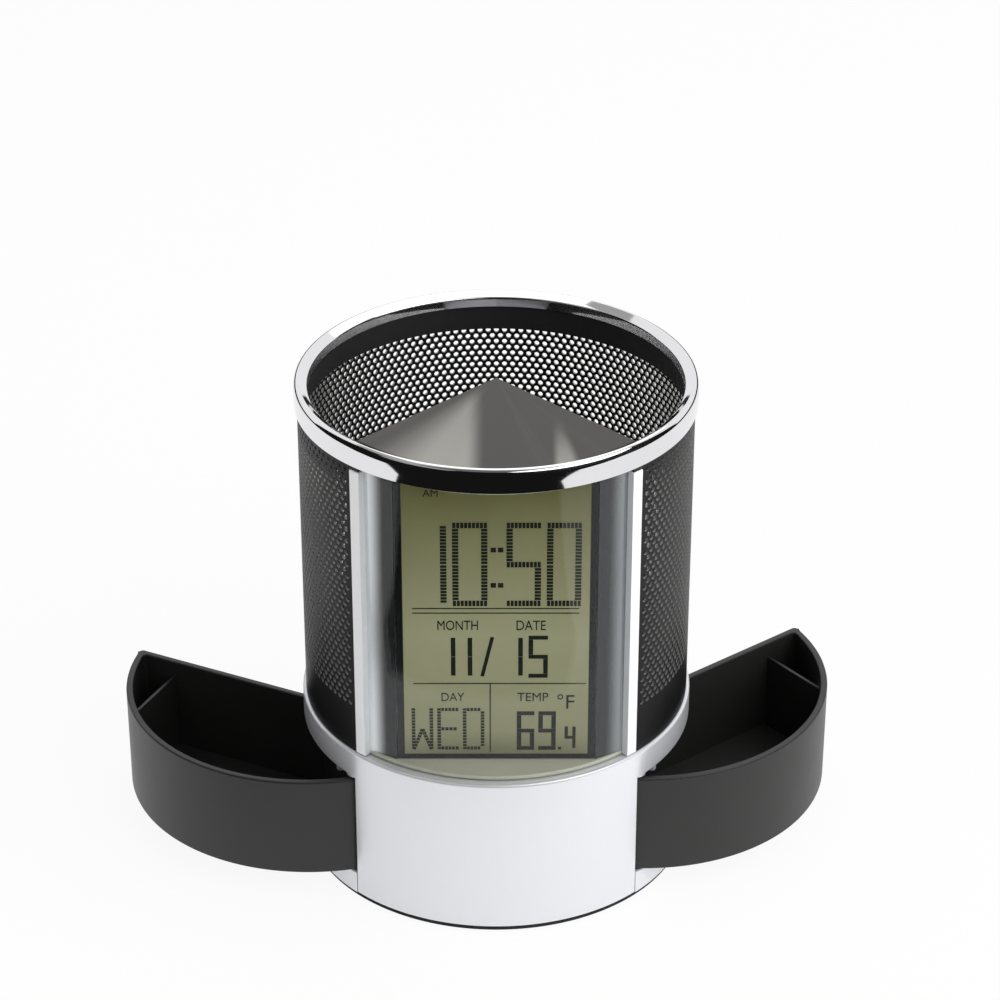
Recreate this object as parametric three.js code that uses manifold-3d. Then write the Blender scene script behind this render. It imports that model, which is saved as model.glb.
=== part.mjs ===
// A desk pen holder with a digital clock in its front and two drawers that swing out of its round base.
// Lengths are in millimetres, +Z is up, the front faces -Y, and the origin is the centre of the underside.
import * as THREE from "three";
import { mergeVertices } from "three/addons/utils/BufferGeometryUtils.js";
import Module from "manifold-3d";

const wasm = await Module();
wasm.setup();

const degrees = THREE.MathUtils.degToRad;

// Driving sizes of the whole object
const overallHeight = 132;
const bodyRadius = 50;
const deckHeight = 44;
const windowHalfAngle = degrees(45);

// How far the two drawers stand open
const leftOpening = degrees(64);
const rightOpening = degrees(51.5);

// Clearances between pieces, and how far joined or cut bodies reach past each other
const fitGap = 0.3;
const pinGap = 0.25;
const weld = 0.5;
const overrun = 1;

// Facets
const arcStep = degrees(5);
const ringSegments = 72;
const rodSegments = 16;
const smallSegments = 12;
const mergeTolerance = 1e-4;

// Anti-slip pad
const padThickness = 1;
const padInset = 0.4;
const padMargin = 0.8;
const padStrip = 2.2;

// Base pan
const panFloorThickness = 2;
const panHeight = 6.3;
const panWall = 2;
const runnerWidth = 1.2;
const outerRunnerShare = 0.76;
const innerRunnerShare = 0.44;
const runnerStart = degrees(54);
const runnerEnd = degrees(155);

// Base shell
const shellWall = 2;
const deckThickness = 2.4;
const skirtHeight = 7.5;
const deckLip = 0.6;
const ribOuterHalf = 7.7;
const partitionWall = 1.5;
const stopPegRadius = 1.2;
const stopPegDepth = 3;
const stopPegReach = 8;
const fullOpening = degrees(70);

// Drawers
const drawerHeight = 27.6;
const drawerInset = 0.4;
const drawerWall = 1.8;
const knuckleRadius = 2.4;
const hingePinRadius = 1.25;
const hingePinSeat = 4.7;

// Battery compartment
const cellRadius = 5.25;
const cellLength = 44.5;
const cellNubRadius = 1.9;
const cellNubLength = 0.8;
const cellEndRoom = 1.75;
const boxWall = 1.2;
const doorThickness = 1.2;
const doorLedge = 1.1;
const doorRibHeight = 0.8;
const doorRibWidth = 1.6;
const doorGripWidth = 1;
const doorGripPitch = 2;
const doorGripCount = 5;
const doorGripDepth = 0.4;
const contactThickness = 0.4;
const contactHalf = 4.5;
const contactTab = 2;
const contactTabHalf = 1.5;
const springRadius = 3;
const contactTouchGap = 0.1;

// Screws
const baseScrew = { head: 2.6, headHeight: 1.6, shaft: 1.2, length: 14 };
const housingScrew = { head: 2.4, headHeight: 1.4, shaft: 1.2, length: 11 };
const boardScrew = { head: 1.5, headHeight: 0.9, shaft: 0.7, length: 2.9 };
const screwWall = 1.7;
const counterboreDepth = 1.8;
const rearScrewInset = 7;
const frontScrewRoom = 6.8;
const housingScrewStep = 5;

// Key board, its switches and the buttons on the underside
const keyBoardThickness = 1;
const keyBoardHalf = 7.5;
const keyBoardFrontMargin = 6.5;
const keyBoardRearMargin = 3.7;
const keyPitch = 8;
const keyRoom = 8.5;
const switchHalf = 3;
const switchHeight = 2.2;
const switchBoreRadius = 1.9;
const switchBoreDepth = 1.5;
const buttonRadius = 2.9;
const buttonRecess = 0.6;
const buttonFlange = 0.8;
const buttonFlangeHeight = 0.4;
const buttonChamfer = 0.4;
const buttonStemRadius = 1.6;
const buttonStemHeight = 0.8;
const buttonRoom = 0.6;
const stakeRadius = 0.8;
const stakeShoulder = 0.7;
const stakeX = 6;

// Cup: sleeve, floor mat, top ring and its liner
const sleeveInset = 0.8;
const sleeveThickness = 0.6;
const sleeveFootBand = 12;
const sleeveColumns = 12;
const sleeveRows = 4;
const sleeveOpenShare = 0.55;
const floorMatThickness = 1.2;
const ringCapHeight = 4;
const ringWidth = 3.6;
const ringSkirt = 2.2;
const ringLip = 0.5;
const ringRound = 0.7;
const ringFall = 1.3;
const linerHeight = 6.4;
const linerThickness = 1;

// Clock housing and its cap
const housingWall = 1.8;
const housingFloor = 1.7;
const housingGap = 0.5;
const bulkheadThickness = 2.2;
const capThickness = 1.6;
const capOverhang = 0.8;
const capDrop = 1.4;

// Display: surround, lens, LCD and its holder
const lensThickness = 1.6;
const lensInset = 0.4;
const postDepth = 3.1;
const postAngle = degrees(3.5);
const surroundWall = 1.2;
const ledgeThickness = 1;
const panelReach = 7.1;
const lensClearance = 1.4;
const lcdThickness = 2.2;
const lcdStep = 2.8;
const lcdGlassThickness = 1.1;
const reflectorThickness = 0.3;
const holderThickness = 2;
const holderBar = 3.8;
const holderEnd = 6;

// Clock board and what it carries
const boardThickness = 1.2;
const boardMargin = 0.8;
const boardScrewInset = 2.1;
const boardScrewLow = 10;
const boardScrewDrop = 5.8;
const domeAngles = [0, degrees(30), degrees(60)];
const chip = { radius: 5, height: 1.5, drop: 32.4 };
const crystal = { radius: 1.5, length: 6, inset: 13.5, drop: 44.4 };
const buzzer = { radius: 6, height: 6, inset: 12.5, drop: 48.4 };
const sensor = { radius: 1.3, length: 3.5, inset: 11.5, drop: 16.4 };

// Cables
const cableSlotHalf = 4.5;
const cableSlotRoom = 6.4;
const cableSlotDepth = 4.5;
const cableRise = 8.3;
const ribbonHalfWidth = 1.4;
const ribbonThickness = 0.4;
const leadRadius = 0.5;
const leadSides = 6;
const leadSteps = 20;
const ribbonSteps = 20;

// Levels and places worked out from the sizes above
const panUnderside = padThickness;
const panFloor = panUnderside + panFloorThickness;
const panTop = panUnderside + panHeight;
const drawerBottom = panTop + fitGap;
const drawerTop = drawerBottom + drawerHeight;
const deckUnderside = deckHeight - deckThickness;
const skirtBottom = deckHeight - skirtHeight;
const shellInner = bodyRadius - shellWall;
const panFrontRadius = shellInner - fitGap;
const drawerRadius = bodyRadius - drawerInset;
const drawerFlat = ribOuterHalf + fitGap;
const hingeRadius = drawerRadius - knuckleRadius;
const hingeAngle = windowHalfAngle + Math.asin((fitGap + knuckleRadius) / hingeRadius);
const hingeBore = hingePinRadius + pinGap;
const ringBottom = overallHeight - ringCapHeight;
const sleeveOuter = bodyRadius - sleeveInset;
const sleeveInner = sleeveOuter - sleeveThickness;
const sleeveTop = ringBottom - fitGap;
const ringInner = bodyRadius - ringWidth;
const skirtOfRing = ringBottom - ringSkirt;
const cellHeight = panFloor + fitGap + cellRadius;
const cellHalf = cellLength / 2;
const boxHalf = cellHalf + cellEndRoom;
const padOpeningHalf = cellHalf + doorLedge + padMargin;
const padOpeningReach = Math.sqrt((bodyRadius - padInset - padStrip) ** 2 - padOpeningHalf ** 2);
const cellSetback = padOpeningReach - padMargin - fitGap - cellRadius;
const boxFront = -cellSetback - cellRadius - fitGap;
const boxRear = -cellSetback + cellRadius + fitGap;
const boxCeiling = cellHeight + cellRadius + fitGap;
const keyBoardBottom = panFloor + buttonFlangeHeight + buttonRoom + switchHeight;
const keyBoardTop = keyBoardBottom + keyBoardThickness;
const rearScrewY = bodyRadius - rearScrewInset;
const frontScrewY = boxRear + boxWall + frontScrewRoom;
const frontScrewX = -frontScrewY - frontScrewRoom;
const housingScrewX = frontScrewX - housingScrewStep;
const housingScrewY = frontScrewY + housingScrewStep;
const keyYs = [3, 2, 1, 0].map((i) => rearScrewY - keyRoom - i * keyPitch);
const firstKeyY = keyYs[0];
const lastKeyY = keyYs[keyYs.length - 1];
const keyBoardFront = firstKeyY - keyBoardFrontMargin;
const keyBoardRear = lastKeyY + keyBoardRearMargin;
const stakeYs = [firstKeyY + keyPitch / 2, lastKeyY - keyPitch / 2];
const lensOuter = bodyRadius - lensInset;
const lensInner = lensOuter - lensThickness;
const postOuterAngle = windowHalfAngle - Math.asin(fitGap / lensOuter);
const postInnerAngle = postOuterAngle - postAngle;
const postInner = lensOuter - postDepth;
const panelRoot = postInner + surroundWall;
const lcdHalf = panelRoot * Math.sin(postInnerAngle) - panelReach;
const displayPlane = lensClearance - Math.sqrt(lensInner ** 2 - lcdHalf ** 2);
const windowBottom = deckHeight + fitGap;
const windowTop = skirtOfRing - fitGap;
const ledgeTop = windowBottom + ledgeThickness;
const lcdBottom = ledgeTop + fitGap;
const lcdTop = windowTop - ledgeThickness - fitGap;
const lcdBack = displayPlane + lcdThickness;
const reflectorBack = lcdBack + fitGap + reflectorThickness;
const holderFront = reflectorBack + fitGap;
const holderBack = holderFront + holderThickness;
const boardFront = holderBack + fitGap;
const boardBack = boardFront + boardThickness;
const housingReach = postInner - housingGap;
const housingBottom = windowBottom;
const housingFloorTop = housingBottom + housingFloor;
const capTop = overallHeight - capDrop;
const housingTop = capTop - capThickness - fitGap;
const holderBottom = housingFloorTop + fitGap;
const boardHalf = lcdHalf - boardMargin;
const boardBottom = holderBottom + fitGap;
const boardTop = lcdTop - holderBar;
const bulkheadFront = boardFront;
const cableSlotFront = boardBack + cableSlotRoom;
const cableSlotRear = cableSlotFront + cableSlotDepth;
const cableSlotY = (cableSlotFront + cableSlotRear) / 2;

// Finishes
const silver = { color: 0xd4d5d9, roughness: 0.28, metalness: 0.85 };
const chrome = { color: 0xe8e8ea, roughness: 0.08, metalness: 1 };
const satin = { color: 0x6f6c66, roughness: 0.34, metalness: 0.9 };
const blackMetal = { color: 0x18181a, roughness: 0.45, metalness: 0.5 };
const blackPlastic = { color: 0x161617, roughness: 0.5, metalness: 0 };
const charcoal = { color: 0x35363a, roughness: 0.42, metalness: 0 };
const foam = { color: 0x1c1c1c, roughness: 0.95, metalness: 0 };
const clear = { color: 0xf4f8fa, roughness: 0.03, metalness: 0, transparent: true, opacity: 0.22 };
const lcdGreen = { color: 0x8f9277, roughness: 0.25, metalness: 0 };
const whitePlastic = { color: 0xe6e4dc, roughness: 0.5, metalness: 0 };
const boardGreen = { color: 0x1d5a33, roughness: 0.5, metalness: 0 };
const steel = { color: 0xb9babd, roughness: 0.3, metalness: 1 };
const cellSkin = { color: 0x2f6f7a, roughness: 0.35, metalness: 0.3 };
const rubber = { color: 0x8a4a55, roughness: 0.8, metalness: 0 };
const red = { color: 0xa82018, roughness: 0.6, metalness: 0 };
const black = { color: 0x151515, roughness: 0.6, metalness: 0 };
const grey = { color: 0x8c8c8e, roughness: 0.6, metalness: 0 };

// A closed geometry as a solid that can be joined and cut
function solid(geometry) {
  geometry.deleteAttribute("normal");
  geometry.deleteAttribute("uv");
  const merged = mergeVertices(geometry, mergeTolerance);
  const corners = Array.from(merged.index.array);
  const triangles = [];
  for (let i = 0; i < corners.length; i += 3) {
    const [a, b, c] = corners.slice(i, i + 3);
    if (a !== b && b !== c && c !== a) triangles.push(a, b, c);
  }
  const vertProperties = merged.attributes.position.array;
  const triVerts = new Uint32Array(triangles);
  return new wasm.Manifold(new wasm.Mesh({ numProp: 3, vertProperties, triVerts }));
}

const joined = (first, ...others) => others.reduce((body, other) => body.add(other), first);
const cut = (first, ...tools) => tools.reduce((body, tool) => body.subtract(tool), first);

// A point at a radius and an angle round the axis, measured from the front towards +X
function polar(radius, angle) {
  return new THREE.Vector2(radius * Math.sin(angle), -radius * Math.cos(angle));
}

const arcSteps = (from, to) => Math.max(1, Math.ceil(Math.abs(to - from) / arcStep));

function arc(radius, from, to, steps = arcSteps(from, to)) {
  return Array.from({ length: steps + 1 }, (_, i) => polar(radius, from + ((to - from) * i) / steps));
}

const point = (x, y) => new THREE.Vector2(x, y);
const mirrored = (points) => points.map((p) => point(-p.x, p.y));
const onSide = (side, points) => (side < 0 ? mirrored(points) : points);

// An outline in plan, carried up from one level to another
function prism(outline, bottom, top, hole) {
  const shape = new THREE.Shape(outline);
  if (hole) shape.holes.push(new THREE.Path(hole));
  const geometry = new THREE.ExtrudeGeometry(shape, { depth: top - bottom, bevelEnabled: false });
  return solid(geometry.translate(0, 0, bottom));
}

// A profile of radius and height turned about an upright line, run anticlockwise
function turned(profile, centre = point(0, 0), segments = ringSegments) {
  const points = profile.map(([radius, height]) => point(radius, height));
  if (points[0].x > 0) points.push(points[0].clone());
  const geometry = new THREE.LatheGeometry(points, segments).rotateX(Math.PI / 2);
  return solid(geometry.translate(centre.x, centre.y, 0));
}

function rod(radius, bottom, top, centre = point(0, 0), segments = rodSegments) {
  return turned([[0, bottom], [radius, bottom], [radius, top], [0, top]], centre, segments);
}

// A round bar along X or Y, from one end to the other
function barAlong(axis, radius, from, to, centre, segments = rodSegments) {
  const bar = new THREE.CylinderGeometry(radius, radius, to - from, segments);
  if (axis === "x") bar.rotateZ(-Math.PI / 2).translate((from + to) / 2, centre.y, centre.z);
  if (axis === "y") bar.translate(centre.x, (from + to) / 2, centre.z);
  return solid(bar);
}

function block(low, high) {
  const size = high.map((value, i) => value - low[i]);
  const middle = high.map((value, i) => (value + low[i]) / 2);
  return solid(new THREE.BoxGeometry(...size).translate(...middle));
}

const ringSector = (outer, inner, from, to, bottom, top) =>
  prism([...arc(outer, from, to), ...arc(inner, to, from)], bottom, top);

// A named mesh with its own material
function piece(name, body, finish) {
  const made = body.getMesh();
  const geometry = new THREE.BufferGeometry();
  geometry.setAttribute("position", new THREE.BufferAttribute(made.vertProperties, made.numProp));
  geometry.setIndex(new THREE.BufferAttribute(made.triVerts, 1));
  const mesh = new THREE.Mesh(geometry, new THREE.MeshStandardMaterial({ ...finish, flatShading: true }));
  mesh.name = name;
  return mesh;
}

function group(...members) {
  const made = new THREE.Group();
  made.add(...members);
  return made;
}

// Screw with its head under z = 0 and its shaft above
function screw(name, size) {
  const head = rod(size.head, -size.headHeight, 0, point(0, 0), smallSegments);
  const shaft = rod(size.shaft, -weld, size.length, point(0, 0), smallSegments);
  return piece(name, joined(head, shaft), steel);
}

const baseScrewPlaces = [
  point(0, rearScrewY),
  point(-frontScrewX, frontScrewY),
  point(frontScrewX, frontScrewY),
];
const housingScrewPlaces = [point(-housingScrewX, housingScrewY), point(housingScrewX, housingScrewY)];
const hingePlaces = [-1, 1].map((side) => polar(hingeRadius, side * hingeAngle));

// Outline of the pan: a full disc whose front is set back behind the apron
function panOutline(inset) {
  const edge = windowHalfAngle + Math.asin((fitGap + inset) / bodyRadius);
  const back = arc(bodyRadius - inset, edge, 2 * Math.PI - edge);
  return [...back, ...arc(panFrontRadius - inset, -edge, edge)];
}

function doorwayOutline(margin) {
  const half = cellHalf + doorLedge + margin;
  const front = boxFront - margin;
  const rear = boxRear + margin;
  return [point(-half, front), point(half, front), point(half, rear), point(-half, rear)];
}

function antiSlipPad() {
  const keySlotHalf = buttonRadius + fitGap + padMargin;
  const keySlot = [
    point(-keySlotHalf, firstKeyY - keySlotHalf),
    point(keySlotHalf, firstKeyY - keySlotHalf),
    point(keySlotHalf, lastKeyY + keySlotHalf),
    point(-keySlotHalf, lastKeyY + keySlotHalf),
  ];
  const screwHoles = baseScrewPlaces.map((place) =>
    rod(baseScrew.head + fitGap + padMargin, -overrun, padThickness + overrun, place),
  );
  const disc = prism(arc(bodyRadius - padInset, 0, 2 * Math.PI).slice(1), 0, padThickness);
  const doorway = prism(doorwayOutline(padMargin), -overrun, padThickness + overrun);
  return piece(
    "anti_slip_pad",
    cut(disc, doorway, prism(keySlot, -overrun, padThickness + overrun), ...screwHoles),
    foam,
  );
}

// Outside of the battery compartment, which rises from the pan's floor behind the apron
function batteryBox() {
  const [bottom, top] = [panFloor - weld, boxCeiling + boxWall];
  const [half, front, rear] = [boxHalf + boxWall, boxFront - boxWall, boxRear + boxWall];
  const box = block([-half, front, bottom], [half, rear, top]);
  return box.intersect(rod(panFrontRadius, bottom, top, point(0, 0), ringSegments));
}

function basePan() {
  const bossBottom = panFloor - weld;
  const floor = prism(panOutline(0), panUnderside, panFloor);
  const rim = prism(panOutline(0), bossBottom, panTop, panOutline(panWall));
  const runners = [-1, 1].flatMap((side) =>
    [outerRunnerShare, innerRunnerShare].map((share) => {
      const radius = bodyRadius * share;
      const outer = arc(radius, runnerStart, runnerEnd);
      const inner = arc(radius - runnerWidth, runnerEnd, runnerStart);
      return prism(onSide(side, [...outer, ...inner]), bossBottom, panTop);
    }),
  );
  const hingeBosses = hingePlaces.map((place) => rod(knuckleRadius, bossBottom, panTop, place));
  const screwBosses = baseScrewPlaces.map((place) =>
    rod(baseScrew.head + fitGap + boxWall, bossBottom, panTop, place),
  );
  const stakes = stakeYs.flatMap((y) =>
    [-stakeX, stakeX].map((x) =>
      joined(
        rod(stakeRadius + stakeShoulder, bossBottom, keyBoardBottom, point(x, y), smallSegments),
        rod(stakeRadius, bossBottom, keyBoardTop, point(x, y), smallSegments),
      ),
    ),
  );
  const cellSpace = block([-boxHalf, boxFront, panFloor], [boxHalf, boxRear, boxCeiling]);
  const cellPassage = block([-cellHalf - fitGap, boxFront, 0], [cellHalf + fitGap, boxRear, boxCeiling]);
  const doorSeat = prism(doorwayOutline(fitGap), 0, panUnderside + doorThickness);
  const tabSlots = [-1, 1].map((side) => {
    const near = side * (boxHalf - contactThickness - fitGap);
    const far = side * (boxHalf + fitGap);
    return block(
      [Math.min(near, far), -cellSetback - contactTabHalf - fitGap, boxCeiling - weld],
      [Math.max(near, far), -cellSetback + contactTabHalf + fitGap, boxCeiling + boxWall + overrun],
    );
  });
  const hingeBores = hingePlaces.map((place) => rod(hingeBore, panFloor, panTop + overrun, place));
  const screwBores = baseScrewPlaces.flatMap((place) => [
    rod(baseScrew.shaft + fitGap, 0, panTop + overrun, place),
    rod(baseScrew.head + fitGap, 0, panUnderside + counterboreDepth, place),
  ]);
  const buttonHoles = keyYs.map((y) => rod(buttonRadius + fitGap, 0, panFloor + overrun, point(0, y)));
  const body = joined(floor, rim, ...runners, ...hingeBosses, ...screwBosses, ...stakes, batteryBox());
  const boxOpenings = [cellSpace, cellPassage, doorSeat, ...tabSlots];
  return piece("base_pan", cut(body, ...boxOpenings, ...hingeBores, ...screwBores, ...buttonHoles), silver);
}

function batteryDoor() {
  const plate = prism(doorwayOutline(0), panUnderside, panUnderside + doorThickness);
  const ribSpots = [-cellHalf / 2, cellHalf / 2];
  const ribTop = panUnderside + doorThickness + doorRibHeight;
  const ribs = ribSpots.map((x) =>
    block(
      [x - doorRibWidth / 2, boxFront + fitGap, panUnderside],
      [x + doorRibWidth / 2, boxRear - fitGap, ribTop],
    ),
  );
  const grips = Array.from({ length: doorGripCount }, (_, i) => {
    const x = cellHalf / 2 + (i - (doorGripCount - 1) / 2) * doorGripPitch;
    return block(
      [x - doorGripWidth / 2, boxFront + doorRibWidth, 0],
      [x + doorGripWidth / 2, boxRear - doorRibWidth, panUnderside + doorGripDepth],
    );
  });
  return piece("battery_door", cut(joined(plate, ...ribs), ...grips), silver);
}

function batteryCell() {
  const centre = new THREE.Vector3(0, -cellSetback, cellHeight);
  const can = barAlong("x", cellRadius, -cellHalf, cellHalf - cellNubLength, centre);
  const nub = barAlong("x", cellNubRadius, 0, cellHalf, centre);
  return piece("battery_cell", joined(can, nub), cellSkin);
}

// A contact plate against an end wall of the compartment, with its solder tab through the ceiling
function contact(name, side, bumpRadius) {
  const wall = side * boxHalf;
  const face = side * (boxHalf - contactThickness);
  const touch = side * (cellHalf + contactTouchGap);
  const [low, high] = [Math.min(wall, face), Math.max(wall, face)];
  const plate = block(
    [low, -cellSetback - contactHalf, cellHeight - contactHalf],
    [high, -cellSetback + contactHalf, cellHeight + contactHalf],
  );
  const tab = block(
    [low, -cellSetback - contactTabHalf, cellHeight],
    [high, -cellSetback + contactTabHalf, boxCeiling + boxWall + contactTab],
  );
  const ends = [Math.min(touch, wall), Math.max(touch, wall)];
  const bump = barAlong("x", bumpRadius, ...ends, new THREE.Vector3(0, -cellSetback, cellHeight));
  return piece(name, joined(plate, tab, bump), steel);
}

// Partition between a drawer and the middle of the base: the rib's side, then the radial wall to the apron
function partitionOutline() {
  const slant = partitionWall * Math.SQRT2;
  const ribInner = ribOuterHalf - partitionWall;
  const reach = shellInner + weld;
  const rear = Math.sqrt(reach ** 2 - ribOuterHalf ** 2);
  return [
    point(ribOuterHalf, rear),
    point(ribOuterHalf, -ribOuterHalf),
    polar(reach, windowHalfAngle),
    polar(reach, windowHalfAngle - Math.asin(partitionWall / reach)),
    point(ribInner, -ribInner - slant),
    point(ribInner, rear),
  ];
}

// Where the peg stands that the fully opened drawer's radial wall comes to rest against
function stopPegPlace(side) {
  const hinge = polar(hingeRadius, hingeAngle);
  const wallOffset = fitGap + drawerWall + stopPegRadius + fitGap - (fitGap + knuckleRadius);
  const swing = Math.atan2(wallOffset, stopPegReach) + fullOpening;
  const inward = Math.PI - windowHalfAngle - swing;
  const [x, y] = [hinge.x + stopPegReach * Math.cos(inward), hinge.y + stopPegReach * Math.sin(inward)];
  return point(side * x, y);
}

function baseShell() {
  const deck = turned([
    [0, deckUnderside],
    [shellInner, deckUnderside],
    [shellInner, skirtBottom],
    [bodyRadius, skirtBottom],
    [bodyRadius, deckHeight - deckLip],
    [bodyRadius - deckLip, deckHeight],
    [0, deckHeight],
  ]);
  const plateInside = deckUnderside + weld;
  const apronBottom = padThickness + fitGap;
  const apronOutline = [
    ...arc(bodyRadius, -windowHalfAngle, windowHalfAngle),
    ...arc(shellInner, windowHalfAngle, -windowHalfAngle),
  ];
  const apron = prism(apronOutline, apronBottom, plateInside);
  const postHalf = Math.asin(ribOuterHalf / bodyRadius);
  const postOutline = [
    ...arc(bodyRadius, Math.PI - postHalf, Math.PI + postHalf),
    ...arc(shellInner, Math.PI + postHalf, Math.PI - postHalf),
  ];
  const post = prism(postOutline, drawerBottom, plateInside);
  const partitions = [-1, 1].map((side) =>
    prism(onSide(side, partitionOutline()), drawerBottom, plateInside),
  );
  const screwBosses = baseScrewPlaces.map((place) =>
    rod(baseScrew.shaft + fitGap + screwWall, drawerBottom, plateInside, place),
  );
  const hingeBosses = hingePlaces.map((place) =>
    rod(knuckleRadius, drawerTop + fitGap, plateInside, place),
  );
  const pegs = [-1, 1].map((side) =>
    rod(stopPegRadius, drawerTop - stopPegDepth, plateInside, stopPegPlace(side)),
  );
  const screwTip = panUnderside + counterboreDepth + baseScrew.length;
  const screwBores = baseScrewPlaces.map((place) =>
    rod(baseScrew.shaft + fitGap, 0, screwTip + fitGap, place, smallSegments),
  );
  const hingeBores = hingePlaces.map((place) =>
    rod(hingeBore, drawerTop, drawerTop + hingePinSeat + pinGap, place),
  );
  const housingHoles = housingScrewPlaces.map((place) =>
    rod(housingScrew.shaft + fitGap, deckUnderside - overrun, deckHeight + overrun, place, smallSegments),
  );
  const cableSlot = block(
    [-cableSlotHalf, cableSlotFront, deckUnderside - overrun],
    [cableSlotHalf, cableSlotRear, deckHeight + overrun],
  );
  const body = joined(deck, apron, post, ...partitions, ...screwBosses, ...hingeBosses, ...pegs);
  const openings = [...screwBores, ...hingeBores, ...housingHoles, cableSlot];
  return piece("base_shell", cut(body, batteryBox(), ...openings), silver);
}

// Plan of a drawer's outer face, or of its hollow when it is set in by the wall
function drawerOutline(inset) {
  const radius = drawerRadius - inset;
  const flat = drawerFlat + inset;
  const radialGap = fitGap + inset;
  const rear = Math.PI - Math.asin(flat / radius);
  const start = windowHalfAngle + Math.asin(radialGap / radius);
  return [...arc(radius, start, rear), point(flat, -flat + radialGap * Math.SQRT2)];
}

// Plan of the outer face with its front corner cut back to the hinge knuckle
function drawerBodyOutline() {
  const hinge = polar(hingeRadius, hingeAngle);
  const outline = drawerOutline(0);
  const corner = outline[outline.length - 1];
  const foot = point(hinge.x - knuckleRadius * Math.SQRT1_2, hinge.y - knuckleRadius * Math.SQRT1_2);
  const rear = Math.PI - Math.asin(drawerFlat / drawerRadius);
  return [...arc(drawerRadius, hingeAngle, rear), corner, foot, hinge];
}

// A drawer shut in the base, inside a group that turns it about its hinge pin
function drawer(name, side, opening) {
  const hinge = polar(hingeRadius, side * hingeAngle);
  const body = prism(onSide(side, drawerBodyOutline()), drawerBottom, drawerTop);
  const floorTop = drawerBottom + drawerWall;
  const hollow = prism(onSide(side, drawerOutline(drawerWall)), floorTop, drawerTop + overrun);
  const knuckle = rod(knuckleRadius, drawerBottom, drawerTop, hinge);
  const bore = rod(hingeBore, drawerBottom - overrun, drawerTop + overrun, hinge);
  const tray = piece(name, cut(joined(cut(body, hollow), knuckle), bore), charcoal);
  tray.position.set(-hinge.x, -hinge.y, 0);
  const swing = group(tray);
  swing.position.set(hinge.x, hinge.y, 0);
  swing.rotation.z = -side * opening;
  return swing;
}

function hingePin(name, place) {
  const bottom = panFloor + fitGap;
  return piece(name, rod(hingePinRadius, bottom, drawerTop + hingePinSeat, place), steel);
}

function keyBoard() {
  const plate = block(
    [-keyBoardHalf, keyBoardFront, keyBoardBottom],
    [keyBoardHalf, keyBoardRear, keyBoardTop],
  );
  const holes = stakeYs.flatMap((y) =>
    [-stakeX, stakeX].map((x) =>
      rod(stakeRadius + fitGap, panFloor, drawerBottom, point(x, y), smallSegments),
    ),
  );
  return piece("key_board", cut(plate, ...holes), boardGreen);
}

// A switch under the key board, open below for the button's stem
function keySwitch(name, y) {
  const bottom = keyBoardBottom - switchHeight;
  const body = block([-switchHalf, -switchHalf, bottom], [switchHalf, switchHalf, keyBoardBottom]);
  const bore = rod(switchBoreRadius, bottom - overrun, bottom + switchBoreDepth, point(0, 0), smallSegments);
  const made = piece(name, cut(body, bore), blackPlastic);
  made.position.y = y;
  return made;
}

function button(name, y) {
  const flangeTop = panFloor + buttonFlangeHeight;
  const profile = [
    [0, buttonRecess],
    [buttonRadius - buttonChamfer, buttonRecess],
    [buttonRadius, buttonRecess + buttonChamfer],
    [buttonRadius, panFloor],
    [buttonRadius + buttonFlange, panFloor],
    [buttonRadius + buttonFlange, flangeTop],
    [buttonStemRadius, flangeTop],
    [buttonStemRadius, flangeTop + buttonStemHeight],
    [0, flangeTop + buttonStemHeight],
  ];
  const made = piece(name, turned(profile, point(0, 0), rodSegments), blackPlastic);
  made.position.y = y;
  return made;
}

// Curved sheet with a coarse grid of openings, which stands for its many fine round ones
function meshSleeve() {
  const [from, to] = [windowHalfAngle, 2 * Math.PI - windowHalfAngle];
  const bars = 2 * sleeveColumns + 1;
  const bar = (to - from) / bars;
  const outline = [...arc(sleeveOuter, from, to, 2 * bars), ...arc(sleeveInner, to, from, 2 * bars)];
  const gridBottom = deckHeight + sleeveFootBand;
  const rise = (sleeveTop - linerHeight - gridBottom) / sleeveRows;
  const openings = Array.from({ length: sleeveRows }, (_, row) => {
    const shift = row % 2;
    const middle = gridBottom + (row + 0.5) * rise;
    const half = (sleeveOpenShare * rise) / 2;
    return Array.from({ length: sleeveColumns - shift }, (_, column) => {
      const start = from + (2 * column + 1 + shift) * bar;
      const [outer, inner] = [sleeveOuter + overrun, sleeveInner - overrun];
      return ringSector(outer, inner, start, start + bar, middle - half, middle + half);
    });
  });
  return piece("mesh_sleeve", cut(prism(outline, deckHeight, sleeveTop), ...openings.flat()), blackMetal);
}

function cupFloor() {
  const radius = sleeveInner - fitGap;
  const edge = windowHalfAngle + Math.asin(fitGap / radius);
  const outline = [...arc(radius, edge, 2 * Math.PI - edge), point(0, fitGap * Math.SQRT2)];
  return piece("cup_floor", prism(outline, deckHeight, deckHeight + floorMatThickness), blackPlastic);
}

function topRing() {
  const lipInner = bodyRadius - ringLip;
  const profile = [
    [lipInner, skirtOfRing],
    [bodyRadius, skirtOfRing],
    [bodyRadius, overallHeight - 2 * ringRound],
    [bodyRadius - ringRound / 2, overallHeight - ringRound / 2],
    [bodyRadius - 2 * ringRound, overallHeight],
    [ringInner + ringRound, overallHeight - ringFall + ringRound / 2],
    [ringInner, overallHeight - ringFall],
    [ringInner, ringBottom],
    [lipInner, ringBottom],
  ];
  return piece("top_ring", turned(profile), chrome);
}

function ringLiner() {
  const outer = sleeveInner - fitGap;
  const inner = outer - linerThickness;
  const edge = windowHalfAngle + Math.asin((fitGap + capOverhang) / inner);
  const band = ringSector(outer, inner, edge, 2 * Math.PI - edge, sleeveTop - linerHeight, sleeveTop);
  return piece("ring_liner", band, blackPlastic);
}

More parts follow.
